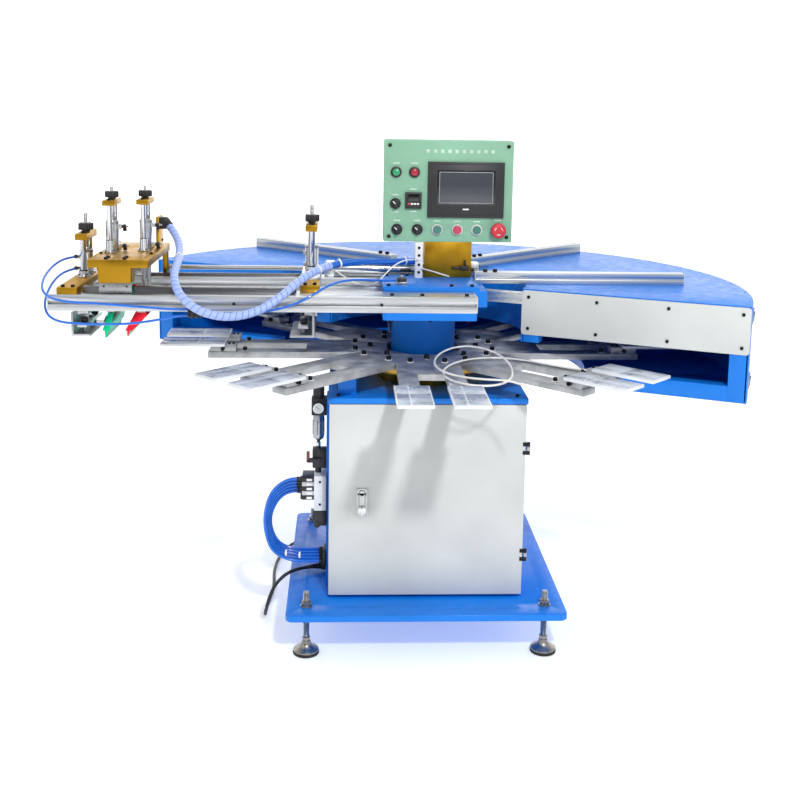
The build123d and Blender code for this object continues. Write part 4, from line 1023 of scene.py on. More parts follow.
# ------------------------------------------------------------------ head, rails and stroke cylinder
@dataclass
class Head:
    """The fixed column and head, the print rails, the stroke cylinder and the roof struts."""

    rail_left: float = -926.0
    rail_right: float = 114.0
    rail_z: float = 863.0
    rail_top: float = 903.0
    front_rail: tuple[float, float] = (-250.0, -170.0)
    rear_rail: tuple[float, float] = (45.0, 105.0)
    rod_y: float = 82.0
    rod_z: float = 923.0

    def build(self) -> None:
        """Make the fixed structure above the table."""
        column = Piece("center_column_enamelled", "frame", "center_column")
        column.cad("center_column", BLUE, 1.0)
        for angle in range(15, 375, 30):
            column.cap_screw(polar(89, angle, 838), DOWN, 3, 3)
        column.done()
        block = Piece("head_block_welded", "frame", "head_block")
        block.cad("head_block", BLUE, 1.0)
        for x, y in ((-100, -148), (-100, 22), (112, -148), (-45, 22), (60, -148)):
            block.cap_screw((x, y, 914), UP, 5, 5)
        for x in (-95, 0, 95):
            block.cap_screw((x, -236, 844), DOWN, 5, 5)
        block.done()
        self.rails()
        self.cylinder()
        self.struts()

    def rails(self) -> None:
        """Make the slotted rails, their end caps and the two guide rails with their screws."""
        rails = Piece("print_rails_extruded", "frame", "print_rails")
        # Faces above the rail tops are the guide rails, which take the near-black finish that paints in their
        # shade.
        rails.cad("print_rails", lambda centre: GUIDE_RAIL_PAINTED_SHADE if centre.z > self.rail_top + 0.2 else ALUMINIUM,
                  0.5)
        for y0, y1 in (self.front_rail, self.rear_rail):
            for z in (self.rail_z + 10, self.rail_z + 30):
                rails.box((self.rail_left + 1, y0 - 0.35, z - 0.6), (self.rail_right - 1, y0 + 0.4, z + 0.6),
                          GREY, 0.2)
            rails.box((self.rail_left - 2, y0 + 0.5, self.rail_z + 0.5),
                      (self.rail_left, y1 - 0.5, self.rail_top - 0.5),
                      PALE_GREY, 0.8)
            rails.box((self.rail_right, y0 + 0.5, self.rail_z + 0.5),
                      (self.rail_right + 2, y1 - 0.5, self.rail_top - 0.5),
                      PALE_GREY, 0.8)
            for x in (-95, -20, 90):
                rails.cap_screw((x, y0 + 16, self.rail_top), UP, 5, 5, BLACK_STEEL, STEEL)
        for y, height, radius in ((-210, 15, 4.2), (54, 9, 2.8)):
            for step in range(9):
                x = -830 + 60 * step
                rails.rod((x, y, self.rail_top + height - 0.2), (x, y, self.rail_top + height + 0.12), radius,
                          BLACK,
                          sides=20, bevel=0)
        for x in (-480, -120):
            rails.cap_screw((x, self.front_rail[0] + 1.5, self.rail_z + 20), FRONT, 3.6, 2)
        rails.done()

    def cylinder(self) -> None:
        """Make the stroke cylinder with its tie rods, flow valves and rod."""
        barrel = Piece("stroke_cylinder_bored", "frame", "stroke_cylinder")
        barrel.cad("stroke_cylinder", self.barrel_finish, 0.7)
        y, z = self.rod_y, self.rod_z
        for side in (-14.5, 14.5):
            for lift in (-14.5, 14.5):
                barrel.rod((-240, y + side, z + lift), (130, y + side, z + lift), 2.6, CHROME, sides=16)
                barrel.nut((153, y + side, z + lift), RIGHT, 8, 4, STEEL)
                barrel.nut((-262, y + side, z + lift), LEFT, 8, 4, STEEL)
        push_fitting(barrel, (-251, y - 20, z + 4), FRONT, UP, True)
        push_fitting(barrel, (142, y - 20, z + 4), FRONT, LEFT, True)
        barrel.box((-60, y - 24, z - 3), (-32, y - 17, z + 3), BLACK, 1)
        barrel.done()
        rod = Piece("stroke_rod_plated", "carriage", "stroke_rod")
        rod.cad("stroke_rod", CHROME, 0.4)
        rod.nut((-688, y, z), RIGHT, 16, 7, STEEL)
        rod.done()

    def barrel_finish(self, centre: Vector) -> Finish:
        """Give the finish of a face of the cylinder: its end blocks are milled, its tube drawn."""
        return ALUMINIUM if centre.x < -239.5 or centre.x > 129.5 else CHROME

    def struts(self) -> None:
        """Make the struts over the tunnel with their end caps, brackets and screws."""
        struts = Piece("roof_struts_extruded", "frame", "roof_struts")
        struts.cad("roof_struts", ALUMINIUM, 0.4)
        for start, end in (((-69, 286), (-487, 667)), ((144, 245), (534, 609)), ((134, -25), (690, -25))):
            first, last = Vector((*start, 934)), Vector((*end, 934))
            way = (last - first).normalized()
            for reach in (26, 52):
                struts.cap_screw(first + way * reach, UP, 6, 7)
            turn = Matrix.Rotation(atan2(way.y, way.x), 4, "Z")
            for point, side in ((first, -1), (last, 1)):
                struts.box((0, -14.6, -29.6), (1.6, 14.6, -0.4), PALE_GREY, 0.6,
                           Matrix.Translation(point + way * (0 if side > 0 else -1.6)) @ turn)
        struts.done()


# ------------------------------------------------------------------ screen lifts, carriage and blades
def star_knob(knob: Piece, x: float, y: float, z: float, height: float, radius: float) -> None:
    """Add a five-lobed clamping knob with a brass bush, standing on its neck.

    Args:
        knob: The piece that takes it.
        x: Its axis.
        y: Its axis.
        z: Underside of its lobes.
        height: Height of its lobes.
        radius: Reach of its lobes.
    """
    knob.lathe((x, y, z - 4), UP, [(5.2, 0), (radius * 0.5, 0), (radius * 0.55, 5), (radius * 0.78, 6),
                                          (radius * 0.80, height), (radius * 0.72, height + 3),
                                          (radius * 0.34, height + 4), (5.2, height + 4), (5.2, 0)], BLACK, 48)
    for lobe in range(5):
        place = polar(radius * 0.72, 72 * lobe) + Vector((x, y, 0))
        foot = (place.x, place.y, z)
        knob.rod(foot, (place.x, place.y, z + height), radius * 0.28, BLACK, sides=28, bevel=2.0)
    knob.lathe((x, y, z + height - 0.2), UP, [(5.2, -6), (7.0, -6), (7.0, 0.2), (5.2, 0.2), (5.2, -6)], BRASS,
               32)


@dataclass
class ScreenLift:
    """One of the two pneumatic lifts that clamp the ends of the print screen."""

    side: str
    x: float
    base: float
    bridge: float
    shelf: float
    elbows: bool = True
    mid: float = -35.0
    posts: tuple[float, float] = (-70.0, 0.0)

    def build(self) -> None:
        """Make the moving clamp and its height knob."""
        lift = Piece(f"{self.side}_screen_lift_assembly", f"{self.side}_lift", f"{self.side}_screen_lift")
        lift.cad(f"{self.side}_screen_lift", self.finish, 0.5)
        x, top = self.x, self.bridge + 16
        lift.thread((x, self.mid, top - 1), (x, self.mid, top + 48), 4.9, STEEL, 1.5)
        lift.nut((x, self.mid, top), UP, 13, 4, STEEL)
        for y in self.posts:
            lift.cap_screw((x, y, top), UP, 4.5, 5)
            lift.nut((self.shelf + 2, y - 35, 808), UP, 11, 5, STEEL)
        for y in (-110, 6):
            lift.lathe((self.shelf + 2, y, 806), UP, [(0, 0), (5, 0), (5, 2), (9, 3), (10, 7), (9, 14), (6, 16),
                                                             (0, 16)], BLACK, 24)
        lift.done()
        knob = Piece(f"{self.side}_lift_star_knob", f"{self.side}_knob", f"{self.side}_lift_knob")
        star_knob(knob, x, self.mid, self.bridge + 21, 18, 20)
        knob.done()

    def finish(self, centre: Vector) -> Finish:
        """Give the finish of a face: gold bridge, plated posts, milled clamps."""
        if centre.z > self.bridge - 0.3:
            return GOLD if centre.z < self.bridge + 16.3 else STEEL
        if centre.z > 841.2:
            return CHROME
        return ALUMINIUM if centre.z > 800 else MILLED

    def dress_base(self, base: Piece) -> None:
        """Add the lift cylinder's fittings, caps and screws to the shared base piece."""
        x = self.x
        base.lathe((x, self.mid, self.base + 58), UP, [(6.2, 0), (17.2, 0), (17.6, 1), (17.6, 6), (16, 8.5),
                                                             (6.2, 8.5)], STEEL, 40)
        base.lathe((x, self.mid, self.base + 1), UP, [(6.4, 0), (17.6, 0), (17.6, 7), (17.1, 8), (6.4, 8)],
                   STEEL, 40)
        for y in self.posts:
            base.lathe((x, y, self.base + 13), UP, [(8.2, 0), (10.5, 0), (10.5, 2.6), (9.5, 3.4), (8.2, 3.4)],
                       BLACK, 32)
            for turn in (45, 135, 225, 315):
                spot = polar(13.6, turn) + Vector((x, y, self.base + 4))
                base.cap_screw(spot, UP, 2.2, 2.4)
        if self.elbows:
            for z in (self.base + 15, self.base + 45):
                push_fitting(base, (x - 16, self.mid, z), LEFT, (0, -1, 0.2), True)


@dataclass
class ScreenLifts:
    """Both lifts and the bases that they stand on."""

    left: ScreenLift
    right: ScreenLift

    def build(self) -> None:
        """Make the bases, then each lift."""
        bases = Piece("screen_lift_bases_anodised", "frame", "screen_lift_bases")
        bases.cad("screen_lift_bases", self.finish, 0.7)
        for x, y in ((-892, -236), (-868, -236), (-310, -176), (-286, -176), (-892, 48), (-868, 48)):
            bases.cap_screw((x, y, 920), UP, 5, 5)
        for lift in (self.left, self.right):
            lift.dress_base(bases)
        bases.done()
        self.left.build()
        self.right.build()

    def finish(self, centre: Vector) -> Finish:
        """Give the finish of a face: gold slabs, a milled pad, and drawn cylinders."""
        if centre.x < -500:
            return GOLD if centre.z < 920.3 else CYLINDER
        if centre.z < 920.3:
            return GOLD if centre.y < -100 or centre.y > 24 else ALUMINIUM
        return ALUMINIUM if centre.z < 936.3 else CYLINDER


@dataclass
class BladeHead:
    """One pneumatic head of the print carriage with its blade holder and stop knob."""

    name: str
    x: float
    mid: float
    holder: Finish
    bridge: float = 1106.0
    bridge_t: float = 13.0
    saddle: float = 987.0

    def build(self) -> None:
        """Make the moving posts, bridge, bar, holder, blade and knob."""
        lift = Piece(f"{self.name}_lift_assembly", self.name, f"{self.name}_lift")
        lift.cad(f"{self.name}_lift", self.finish, 0.5)
        top = self.bridge + self.bridge_t
        lift.thread((self.x, self.mid, top - 1), (self.x, self.mid, top + 31.5), 3.9, STEEL, 1.25)
        for y in (self.mid - 35, self.mid + 35):
            lift.cap_screw((self.x, y, top), UP, 4, 4)
            lift.cap_screw((self.x, y, 835), DOWN, 4, 3)
        lift.done()
        knob = Piece(f"{self.name}_stop_knob", f"{self.name}_nut", f"{self.name}_knob")
        star_knob(knob, self.x, self.mid, top + 5, 16, 18)
        knob.done()
        holder = Piece(f"{self.name}_holder_and_blade", self.name, f"{self.name}_holder")
        holder.cad(f"{self.name}_holder", lambda centre: BLADE if centre.z < 783 else self.holder, 0.5)
        for y in (-70, -6, 58):
            spot, way = (self.x - 14, y, 806), (-0.94, 0, 0.34)
            holder.lathe(spot, way, [(0, -3), (6, -3), (6, 1), (9, 2), (9.5, 8), (8, 11), (0, 11)], BLACK, 24)
        holder.done()

    def finish(self, centre: Vector) -> Finish:
        """Give the finish of a face: gold bridge, plated posts, milled bar."""
        if centre.z > self.bridge - 0.3:
            return GOLD if centre.z < self.bridge + self.bridge_t + 0.3 else STEEL
        return CHROME if centre.z > 855.2 else MILLED

    def dress(self, cylinders: Piece) -> None:
        """Add the head's cylinder caps, bush rings and fittings to the shared piece."""
        cylinders.lathe((self.x, self.mid, 1056), UP, [(5.2, 0), (16.2, 0), (16.6, 1), (16.6, 7), (15, 9.4),
                                                       (5.2, 9.4)], STEEL, 40)
        cylinders.lathe((self.x, self.mid, self.saddle + 0.3), UP, [(5.2, 0), (16.6, 0), (16.6, 8), (16, 9),
                                                                    (5.2, 9)], STEEL, 40)
        for y in (self.mid - 35, self.mid + 35):
            cylinders.lathe((self.x, y, self.saddle + 30), UP,
                            [(6.2, 0), (9.2, 0), (9.2, 1.4), (8.4, 2), (6.2, 2)],
                            BLACK, 32)
            for turn in (45, 135, 225, 315):
                spot = polar(12.3, turn) + Vector((self.x, y, self.saddle + 4))
                cylinders.cap_screw(spot, UP, 1.9, 2.2)
        for z in (1000, 1050):
            push_fitting(cylinders, (self.x + 22, self.mid, z), RIGHT, (0, 0.3, -1), True)


@dataclass
class Carriage:
    """The gold print carriage on its guide rails, with both blade heads."""

    heads: tuple[BladeHead, BladeHead]
    top: float = 987.0

    def build(self) -> None:
        """Make the carriage and its heads."""
        saddle = Piece("carriage_saddle_anodised", "carriage", "carriage_saddle")
        saddle.cad("carriage_saddle", GOLD, 0.9)
        for x, y in ((-790, -226), (-745, -226), (-790, -202), (-745, -202), (-822, 88), (-760, 88)):
            saddle.cap_screw((x, y, self.top), UP, 5, 5)
        for x in (-822, -697):
            saddle.cap_screw((x, -130, self.top), UP, 4, 4)
        for z in (1002, 1052):
            saddle.cap_screw((-698, 44, z), RIGHT, 3.4, 3)
        saddle.done()
        blocks = Piece("guide_blocks_ground", "carriage", "guide_blocks")
        blocks.cad("guide_blocks", self.block_finish, 0.5)
        for x in (-795, -740):
            blocks.cap_screw((x, -232, 921), FRONT, 2.4, 1.2)
        blocks.rod((-728, -210, 921), (-720, -210, 921), 2.6, RED_METAL, sides=16)
        blocks.done()
        cylinders = Piece("head_cylinders_drawn", "carriage", "head_cylinders")
        cylinders.cad("head_cylinders", self.cylinder_finish, 0.5)
        for head in self.heads:
            head.dress(cylinders)
        cylinders.done()
        for head in self.heads:
            head.build()

    def block_finish(self, centre: Vector) -> Finish:
        """Give the finish of a face of the guide blocks: green end caps on a ground body."""
        front = centre.y < -100
        low_x, high_x = (-799, -736) if front else (-789, -746)
        return STEEL if low_x < centre.x < high_x else GREEN_METAL

    def cylinder_finish(self, centre: Vector) -> Finish:
        """Give the finish of a face of the cylinders: drawn barrels, black ports and manifold."""
        return BLACK if centre.x > -701 else CYLINDER


# ------------------------------------------------------------------ drying tunnel
@dataclass
class DryingTunnel:
    """The half-ring tunnel over the platens: shell, end frames, cover plate and heaters."""

    inner: float = 272.0
    outer: float = 840.0
    start: float = -25.0
    roof: float = 904.0

    def build(self) -> None:
        """Make the tunnel."""
        roof = Piece("tunnel_roof_enamelled", "frame", "tunnel_roof")
        roof.cad("tunnel_roof", BLUE, 0.8)
        for angle in range(-20, 155, 10):
            roof.cap_screw(polar(self.outer - 9, angle, self.roof - 0.6), UP, 3.0, 1.4, BLUE)
            if angle > 55 or angle < -5:
                roof.cap_screw(polar(self.inner + 9, angle, self.roof - 0.6), UP, 3.0, 1.4, BLUE)
        roof.done()
        walls = Piece("tunnel_walls_enamelled", "frame", "tunnel_walls")
        walls.cad("tunnel_walls", BLUE, 0.3)
        self.latches(walls)
        walls.done()
        bare("tunnel_floor_and_end_frames", "frame", "tunnel_floor", BLUE, 0.5)
        self.cover()
        self.heaters()

    def latches(self, walls: Piece) -> None:
        """Add the toggle latches and the seam strip on the outer wall by the mouth."""
        for angle, z in ((-19, 868), (-19, 705), (-8, 868), (12, 868), (40, 868), (75, 868), (110, 868),
                         (146, 868)):
            place = spun(angle, "Z") @ Matrix.Translation((self.outer, 0, z))
            walls.box((-0.5, -9, -20), (2.2, 9, 20), STEEL, 0.7, place)
            walls.box((2.2, -5, -14), (6.0, 5, 12), CHROME, 1.2, place)
            walls.cap_screw(place @ Vector((2.2, 0, 17)), place.to_3x3() @ Vector(RIGHT), 2.4, 1.2)
        for step in range(36):
            angle = self.start + 2.5 + 5 * step
            place = polar(self.outer - 0.4, angle, 893)
            walls.rod(place, place + polar(1.6, angle), 2.6, BLUE, sides=14)

    def cover(self) -> None:
        """Make the white end cover with its eight screws."""
        cover = Piece("tunnel_cover_folded", "frame", "tunnel_cover")
        cover.cad("tunnel_cover", OFF_WHITE, 0.8)
        off = polar(1, self.start - 90)
        for radius in (290, 467, 645, 822):
            for z in (802, 884):
                seat = polar(radius, self.start, z) + off * 3
                cover.cap_screw(seat, off, 4.2, 2.6)
        cover.done()

    def heaters(self) -> None:
        """Make the heater tubes with their ceramic ends, reflectors, hangers and leads."""
        heaters = Piece("heater_bank_wired", "frame", "heater_bank")
        heaters.cad("heater_bank", self.heater_finish, 0.3)
        for angle in range(0, 126, 25):
            way = polar(1, angle)
            for radius in (470, 750):
                inwards = -1 if radius == 470 else 1
                foot = polar(radius, angle, 838)
                heaters.rod(foot - way * inwards * 14, foot + way * inwards * 6, 9, WHITE, sides=24)
                heaters.rod(foot + way * inwards * 6, foot + way * inwards * 12, 2, BRASS, sides=12)
            place = spun(angle, "Z")
            for side in (-1, 1):
                heaters.box((460, side * 26 - 1.5, 852), (760, side * 26 + 1.5, 865), ALUMINIUM, 0.5, place)
        heaters.done()

    def heater_finish(self, centre: Vector) -> Finish:
        """Give the finish of a face of the heaters: clear tubes below bright reflectors."""
        radius = (centre.x ** 2 + centre.y ** 2) ** 0.5
        clip = min(abs(radius - 482.5), abs(radius - 737.5)) < 3.2
        return QUARTZ if centre.z < 845.5 and not clip else ALUMINIUM


# ------------------------------------------------------------------ control box
@dataclass
class ControlPanel:
    """The mint control box on its gold bracket, with the operator screen and controls."""

    left: float = -110.0
    right: float = 231.0
    low: float = 1009.0
    top: float = 1277.0
    depth: float = 80.0
    button_z: float = 1042.0
    stop_x: float = 193.0

    BUTTONS = {"green_button_left": ("start_left", 32, GREEN_CAP), "red_button": ("stop_button", 85, RED_CAP),
               "green_button_right": ("start_right", 137, GREEN_CAP)}
    SELECTORS = {"selector_upper": ("mode_upper", -80, 1110), "selector_left": ("mode_left", -75, 1042),
                 "selector_right": ("mode_right", -21, 1042)}
    LAMPS = ((-79, 1193, GREEN), (-31, 1193, RED))

    def build(self) -> None:
        """Make the bracket, the box and everything on its face."""
        self.bracket()
        self.box()
        self.fittings()
        self.buttons()

    def bracket(self) -> None:
        """Make the gold bracket, the white cable trunk and their screws."""
        bracket = Piece("control_bracket_anodised", "frame", "control_bracket")
        bracket.cad("control_bracket", lambda centre: WHITE if centre.x < -2 else GOLD, 0.8)
        for x in (12, 113):
            bracket.cap_screw((x, 14, 920), UP, 4, 4)
        for z in (930, 950, 975, 995):
            bracket.cap_screw((-16, -20, z), FRONT, 3.6, 2.4)
        bracket.box((96, -14, 934), (118, 0, 946), BLACK, 1.2)
        bracket.rod((108, -8, 946), (108, -8, 962), 2.2, BLACK, sides=16)
        bracket.rod((72, -7, 940), (96, -7, 940), 3.4, BLACK, sides=20)
        bracket.done()

    def box(self) -> None:
        """Make the mint box with its cover seam, hinges and rear screws."""
        box = Piece("control_box_painted", "frame", "control_box")
        box.cad("control_box", MINT, 0.6)
        box.box((self.left + 6, self.depth - 0.4, self.low + 6),
                (self.right - 6, self.depth + 1.2, self.top - 6), MINT,
                1.0)
        for x in (self.left + 16, (self.left + self.right) / 2, self.right - 16):
            for z in (self.low + 16, self.top - 16):
                box.cap_screw((x, self.depth + 1.2, z), BACK, 3.6, 2.2)
        for slot in range(8):
            box.box((20 + 10 * slot, self.depth + 0.9, 1100), (25 + 10 * slot, self.depth + 1.5, 1180), BLACK,
                    0.2)
        box.rod((60, self.depth, 1040), (60, self.depth + 9, 1040), 11, BLACK, sides=6)
        box.done()

    def fittings(self) -> None:
        """Make the collars, lamps, screen, counter, labels and corner screws."""
        fittings = Piece("panel_fittings_fitted", "frame", "panel_fittings")
        fittings.cad("panel_fittings", self.fitting_finish, 0.6)
        fittings.box((12, -9.0, 1081), (200, -7.4, 1214), BLACK, 0.9)
        fittings.box((29, -9.4, 1108), (183, -8.6, 1200), SCREEN, 0.3)
        fittings.box((35, -9.6, 1113), (177, -9.2, 1195), GREY, 0.1)
        fittings.box((36, -9.7, 1114), (176, -9.3, 1194), DISPLAY, 0.1)
        fittings.box((98, -9.5, 1095), (114, -9.2, 1099), WHITE, 0.1)
        fittings.box((-47, -9.0, 1117), (-17, -7.6, 1136), SCREEN, 0.6)
        for digit in range(4):
            x = -47 + 7.8 * digit
            fittings.box((x, -8.8, 1102), (x + 6, -7.4, 1112), WHITE if digit else RED_CAP, 0.5)
        fittings.box((-53, -9.9, 1098), (-12, -8.8, 1100.5), BLACK, 0.2)
        for x, z, lens in self.LAMPS:
            fittings.lathe((x, -11, z), FRONT, [(0, 0), (9.6, 0), (9.4, 1.6), (6.5, 3.2), (0, 3.8)], lens, 32)
        for x, z in ((-79, 1216), (-31, 1216), (-80, 1133), (-33, 1148), (-75, 1065), (-21, 1065), (32, 1064),
                     (85, 1064), (137, 1064), (193, 1068), (-33, 1089), (-80, 1088)):
            fittings.box((x - 9, -0.6, z - 2.0), (x + 9, 0.2, z + 2.0), LABEL, 0.3)
        for x in range(0, 190, 19):
            fittings.box((x, -0.6, 1244), (x + 9, 0.2, 1253), LABEL, 0.3)
        fittings.done()

    def fitting_finish(self, centre: Vector) -> Finish:
        """Give the finish of a face of the fittings: pale collars in the lower row, the rest black."""
        corner = min(abs(centre.x - self.left - 14), abs(centre.x - self.right + 14)) < 6
        if corner and (centre.z < 1032 or centre.z > 1255):
            return BLACK_STEEL
        return PALE_GREY if centre.x > 10 and centre.z < 1075 else BLACK

    def buttons(self) -> None:
        """Make the push buttons, the emergency stop and the selectors."""
        for node, (body, x, lens) in self.BUTTONS.items():
            button = Piece(f"{node}_cap", body, node)
            button.cad(node, lambda centre, lens=lens: lens if centre.y < -7.8 else BLACK, 1.2)
            button.lathe((x, -11.6, self.button_z), FRONT, [(0, 0), (8.0, 0), (7.4, 0.7), (0, 1.0)], lens, 40)
            button.done()
        stop = Piece("emergency_stop_mushroom", "mushroom", "emergency_stop")
        stop.cad("emergency_stop", lambda centre: MUSHROOM if centre.y < -11.9 else BLACK, 0.3)
        stop.lathe((self.stop_x, -25.6, self.button_z), FRONT, [(0, 0), (15.6, 0), (12, 0.9), (0, 1.6)],
                   MUSHROOM,
                   48)
        for turn in range(3):
            spot = polar(10, 120 * turn + 30)
            stop.box((-4.5, -0.5, -1), (4.5, 0.4, 1), WHITE, 0.3,
                     Matrix.Translation((self.stop_x + spot.x, -26.6, self.button_z + spot.y))
                     @ spun(-120 * turn - 120, "Y"))
        stop.done()
        for node, (body, x, z) in self.SELECTORS.items():
            selector = Piece(f"{node}_knob", body, node)
            selector.cad(node, BLACK, 0.8)
            pointer = Matrix.Translation((x, -20, z)) @ spun(-45, "Y")
            selector.box((-1.2, -0.4, 0.5), (1.2, 0.5, 10), WHITE, 0.2, pointer)
            selector.done()


# ------------------------------------------------------------------ compressed air
@dataclass
class AirSupply:
    """The filter regulator, shut-off valve and valve manifold on the cabinet's left side."""

    y: float = -150.0
    bowl_x: float = -275.0

    def build(self) -> None:
        """Make the air supply and the small fitting blocks of the hoses."""
        self.regulator()
        self.manifold()
        self.blocks()

    def regulator(self) -> None:
        """Make the mounting strip, regulator, bowl, gauge and shut-off valve."""
        unit = Piece("filter_regulator_unit", "frame", "filter_regulator")
        x, y = self.bowl_x, self.y
        unit.box((-254, y - 25, 125), (-248, y + 25, 634), BLUE, 0.8)
        unit.box((-293, y - 18, 580), (-254, y + 18, 625), BLACK, 2.4)
        outline = [(0, 0), (14, 0), (14, 3), (12.5, 4)]
        for ring in range(5):
            outline += [(14.6, 6 + 4 * ring), (14.6, 8 + 4 * ring), (13.8, 9 + 4 * ring)]
        unit.lathe((x, y, 625), UP, outline + [(14, 28), (12, 31), (0, 31)], BLACK, 36)
        unit.lathe((x, y, 512), UP, [(0, 4), (5, 0), (9, 1), (13.6, 6), (15, 14), (15, 60), (13, 68), (0, 68)],
                   STEEL, 48)
        for turn in range(6):
            spot = polar(14.6, 60 * turn + 20)
            unit.box((x + spot.x - 1.6, y + spot.y - 1.6, 528), (x + spot.x + 1.6, y + spot.y + 1.6, 566),
                     BOWL, 0.8)
        unit.rod((x, y, 505), (x, y, 513), 4, BLACK, sides=20)
        unit.lathe((x, y - 18, 602), FRONT, [(0, 0), (5, 0), (5, 3), (14, 4), (14, 11), (13, 12), (0, 12)],
                   CHROME,
                   44)
        unit.lathe((x, y - 29.6, 602), FRONT, [(0, 0), (12, 0), (12, 0.5), (0, 0.5)], WHITE, 40)
        unit.box((x - 0.6, y - 30.5, 598), (x + 0.6, y - 30.0, 611), BLACK, 0.1,
                 Matrix.Translation((x, 0, 602)) @ spun(-50, "Y") @ Matrix.Translation((-x, 0, -602)))
        unit.rod((x, y, 490), (x, y, 506), 6.5, CHROME, sides=6)
        unit.box((-290, y - 15, 440), (-254, y + 15, 490), BLACK, 2.0)
        unit.box((-303, y - 27, 458), (-268, y - 14, 468), BLACK, 1.6)
        unit.box((-305, y - 27, 458), (-297, y - 14, 486), LEVER, 2.0)
        unit.rod((x, y, 425), (x, y, 441), 7.5, BLACK, sides=24)
        unit.done()

    def manifold(self) -> None:
        """Make the manifold block, its valves with connectors and the lower hose block."""
        block = Piece("valve_manifold_unit", "frame", "valve_manifold")
        block.box((-285, -185, 333), (-254, -115, 425), PLATE, 1.0)
        block.box((-285, -185, 292), (-254, -115, 332), BLACK, 1.4)
        block.rod((-277, -186, 296), (-277, -130, 296), 9, BLACK, sides=28, bevel=2)
        for y in (-176, -124):
            for z in (350, 410):
                block.cap_screw((-270, -185 if y < -150 else -115, z), (0, -1 if y < -150 else 1, 0), 3, 2)
        for valve in range(5):
            z, y = 366 + 12 * valve, -171 + 10.5 * (4 - valve)
            block.box((-316, -180, z - 5.5), (-285, -120, z + 5.5), GREY if valve % 2 else BLACK, 0.9)
            block.box((-320, -178, z - 4.8), (-316, -160, z + 4.8), BLACK, 0.8)
            block.box((-304, -182.4, z - 3), (-290, -180, z + 3), WHITE, 0.6)
            block.rod((-316, y, z), (-327, y, z), 5.2, BLACK, sides=24)
            block.rod((-327, y, z), (-330, y, z), 5.6, BLACK, sides=24)
        block.box((-262, -180, 180), (-254, -120, 220), BLACK, 1.2)
        for hose in range(5):
            y, z = -171 + 10.5 * hose, 192 + 4 * hose
            block.rod((-262, y, z), (-272, y, z), 5.1, BLACK, sides=24)
        block.done()

    def blocks(self) -> None:
        """Make the black tube connectors on the front rail and on the head."""
        blocks = Piece("hose_fittings_moulded", "frame", "hose_fittings")
        for z in (856, 864, 872):
            blocks.rod((-590, -256.5, z - 1), (-554, -256.5, z - 1), 4.4, BLACK, sides=24, bevel=0.8)
            for x in (-590, -560):
                blocks.rod((x, -256.5, z - 1), (x + 5, -256.5, z - 1), 5.3, BLACK, sides=24)
        blocks.box((-584, -259.5, 851), (-560, -250, 877), BLACK, 1.4)
        for x in (-578, -566):
            blocks.rod((x, -258, 849.5), (x, -258, 878.5), 4.6, BLACK, sides=24)
        blocks.box((-80, -140, 914), (-52, -112, 922), STEEL, 0.8)
        blocks.box((-78, -137, 921.6), (-54, -115, 931.6), BLACK, 1.2)
        blocks.rod((-66, -126, 931), (-66, -126, 938), 3.4, CHROME, sides=20)
        blocks.done()


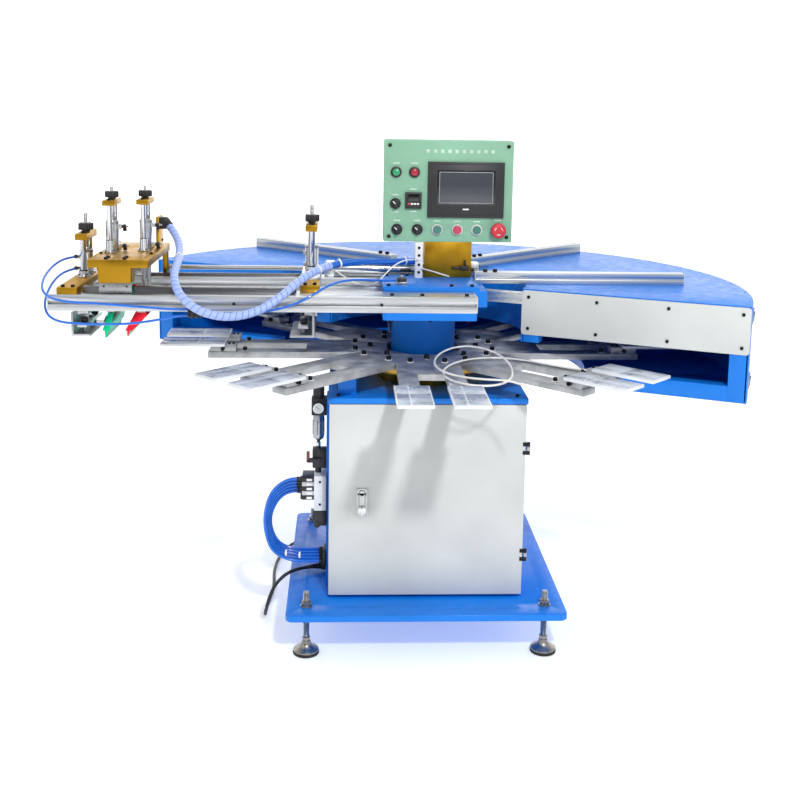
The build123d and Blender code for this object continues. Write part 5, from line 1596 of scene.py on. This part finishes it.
# ------------------------------------------------------------------ camera, light and floor
@dataclass
class Studio:
    """The camera at the operator's eye, soft light from the front and a pale floor."""

    eye: tuple[float, float, float] = (-0.208, -2.935, 1.374)
    down: float = 8.485
    yaw: float = 2.794
    roll: float = 0.929
    lens: float = 50.24
    shift: float = -0.164

    def build(self) -> None:
        """Set up the camera, the lamps, the world and the floor."""
        scene = bpy.context.scene
        camera = bpy.data.objects.new("camera", bpy.data.cameras.new("camera"))
        camera.data.lens = self.lens
        camera.data.sensor_width = 36.0
        camera.data.shift_y = self.shift
        camera.data.clip_start = 0.05
        turn = (spun(-self.yaw, "Z") @ spun(90 - self.down, "X")
                @ spun(self.roll, "Z"))
        camera.matrix_world = Matrix.Translation(self.eye) @ turn
        scene.collection.objects.link(camera)
        scene.camera = camera
        scene.view_settings.view_transform = "Standard"
        self.lamp("key", (0.62, -3.3, 3.15), (0.0, -0.3, 0.45), 0.22, 88)
        self.lamp("fill_left", (-3.2, -2.4, 2.6), (-0.2, 0, 0.8), 2.6, 22)
        self.lamp("fill_right", (3.4, -1.2, 2.4), (0.2, 0, 0.8), 2.4, 14)
        self.lamp("top", (0, 0.9, 4.2), (0, 0, 0.8), 3.2, 24)
        self.world(scene)
        self.floor(scene)

    def lamp(self, name: str, place: Point, aim: Point, size: float, power: float) -> None:
        """Add a square soft lamp aimed at a point, in metres and watts."""
        data = bpy.data.lights.new(name, "AREA")
        data.size = size
        data.energy = power
        lamp = bpy.data.objects.new(name, data)
        way = Vector(aim) - Vector(place)
        lamp.matrix_world = Matrix.Translation(place) @ way.to_track_quat("-Z", "Y").to_matrix().to_4x4()
        bpy.context.scene.collection.objects.link(lamp)

    def world(self, scene: bpy.types.Scene) -> None:
        """Light everything evenly from a near-white surround."""
        world = bpy.data.worlds.new("surround")
        world.use_nodes = True
        world.node_tree.nodes["Background"].inputs["Color"].default_value = (0.96, 0.98, 1.0, 1)
        world.node_tree.nodes["Background"].inputs["Strength"].default_value = 0.46
        scene.world = world

    def floor(self, scene: bpy.types.Scene) -> None:
        """Lay the pale studio floor and stand the white backdrop behind it."""
        upright = Matrix.Translation((0, 9, 0)) @ spun(90, "X")
        for name, place, glow in (("floor", Matrix.Identity(4), 0.30), ("backdrop", upright, 1.0)):
            shape = bmesh.new()
            bmesh.ops.create_grid(shape, x_segments=1, y_segments=1, size=16, matrix=place)
            data = bpy.data.meshes.new(name)
            shape.to_mesh(data)
            shape.free()
            shader = Shader(f"studio_{name}")
            shader.colours(shader.noise(2.0), (0.92, 0.92, 0.92), (0.95, 0.95, 0.95))
            shader.surface.inputs["Emission Color"].default_value = (1, 1, 1, 1)
            shader.constant(Roughness=0.9, Emission_Strength=glow)
            data.materials.append(shader.material)
            surface = bpy.data.objects.new(name, data)
            scene.collection.objects.link(surface)


def main() -> None:
    """Build the studio, the cords and every sub-assembly in turn."""
    logging.basicConfig(level=logging.INFO, format="%(name)s: %(message)s")
    squeegee = BladeHead("squeegee", -804, -75, GREEN_METAL)
    flood = BladeHead("flood", -727, -35, RED_METAL)
    left = ScreenLift("left", -880, 920, 1015, -873.5)
    right = ScreenLift("right", -298, 936, 1043, -318, elbows=False)
    assemblies = (Studio(), Cords(), Base(), Cabinet(), Drive(), Carousel(), Head(), ScreenLifts(left, right),
                  Carriage((squeegee, flood)), DryingTunnel(), ControlPanel(), AirSupply())
    for assembly in assemblies:
        log.info("making %s", type(assembly).__name__)
        assembly.build()


if __name__ == "__main__":
    main()
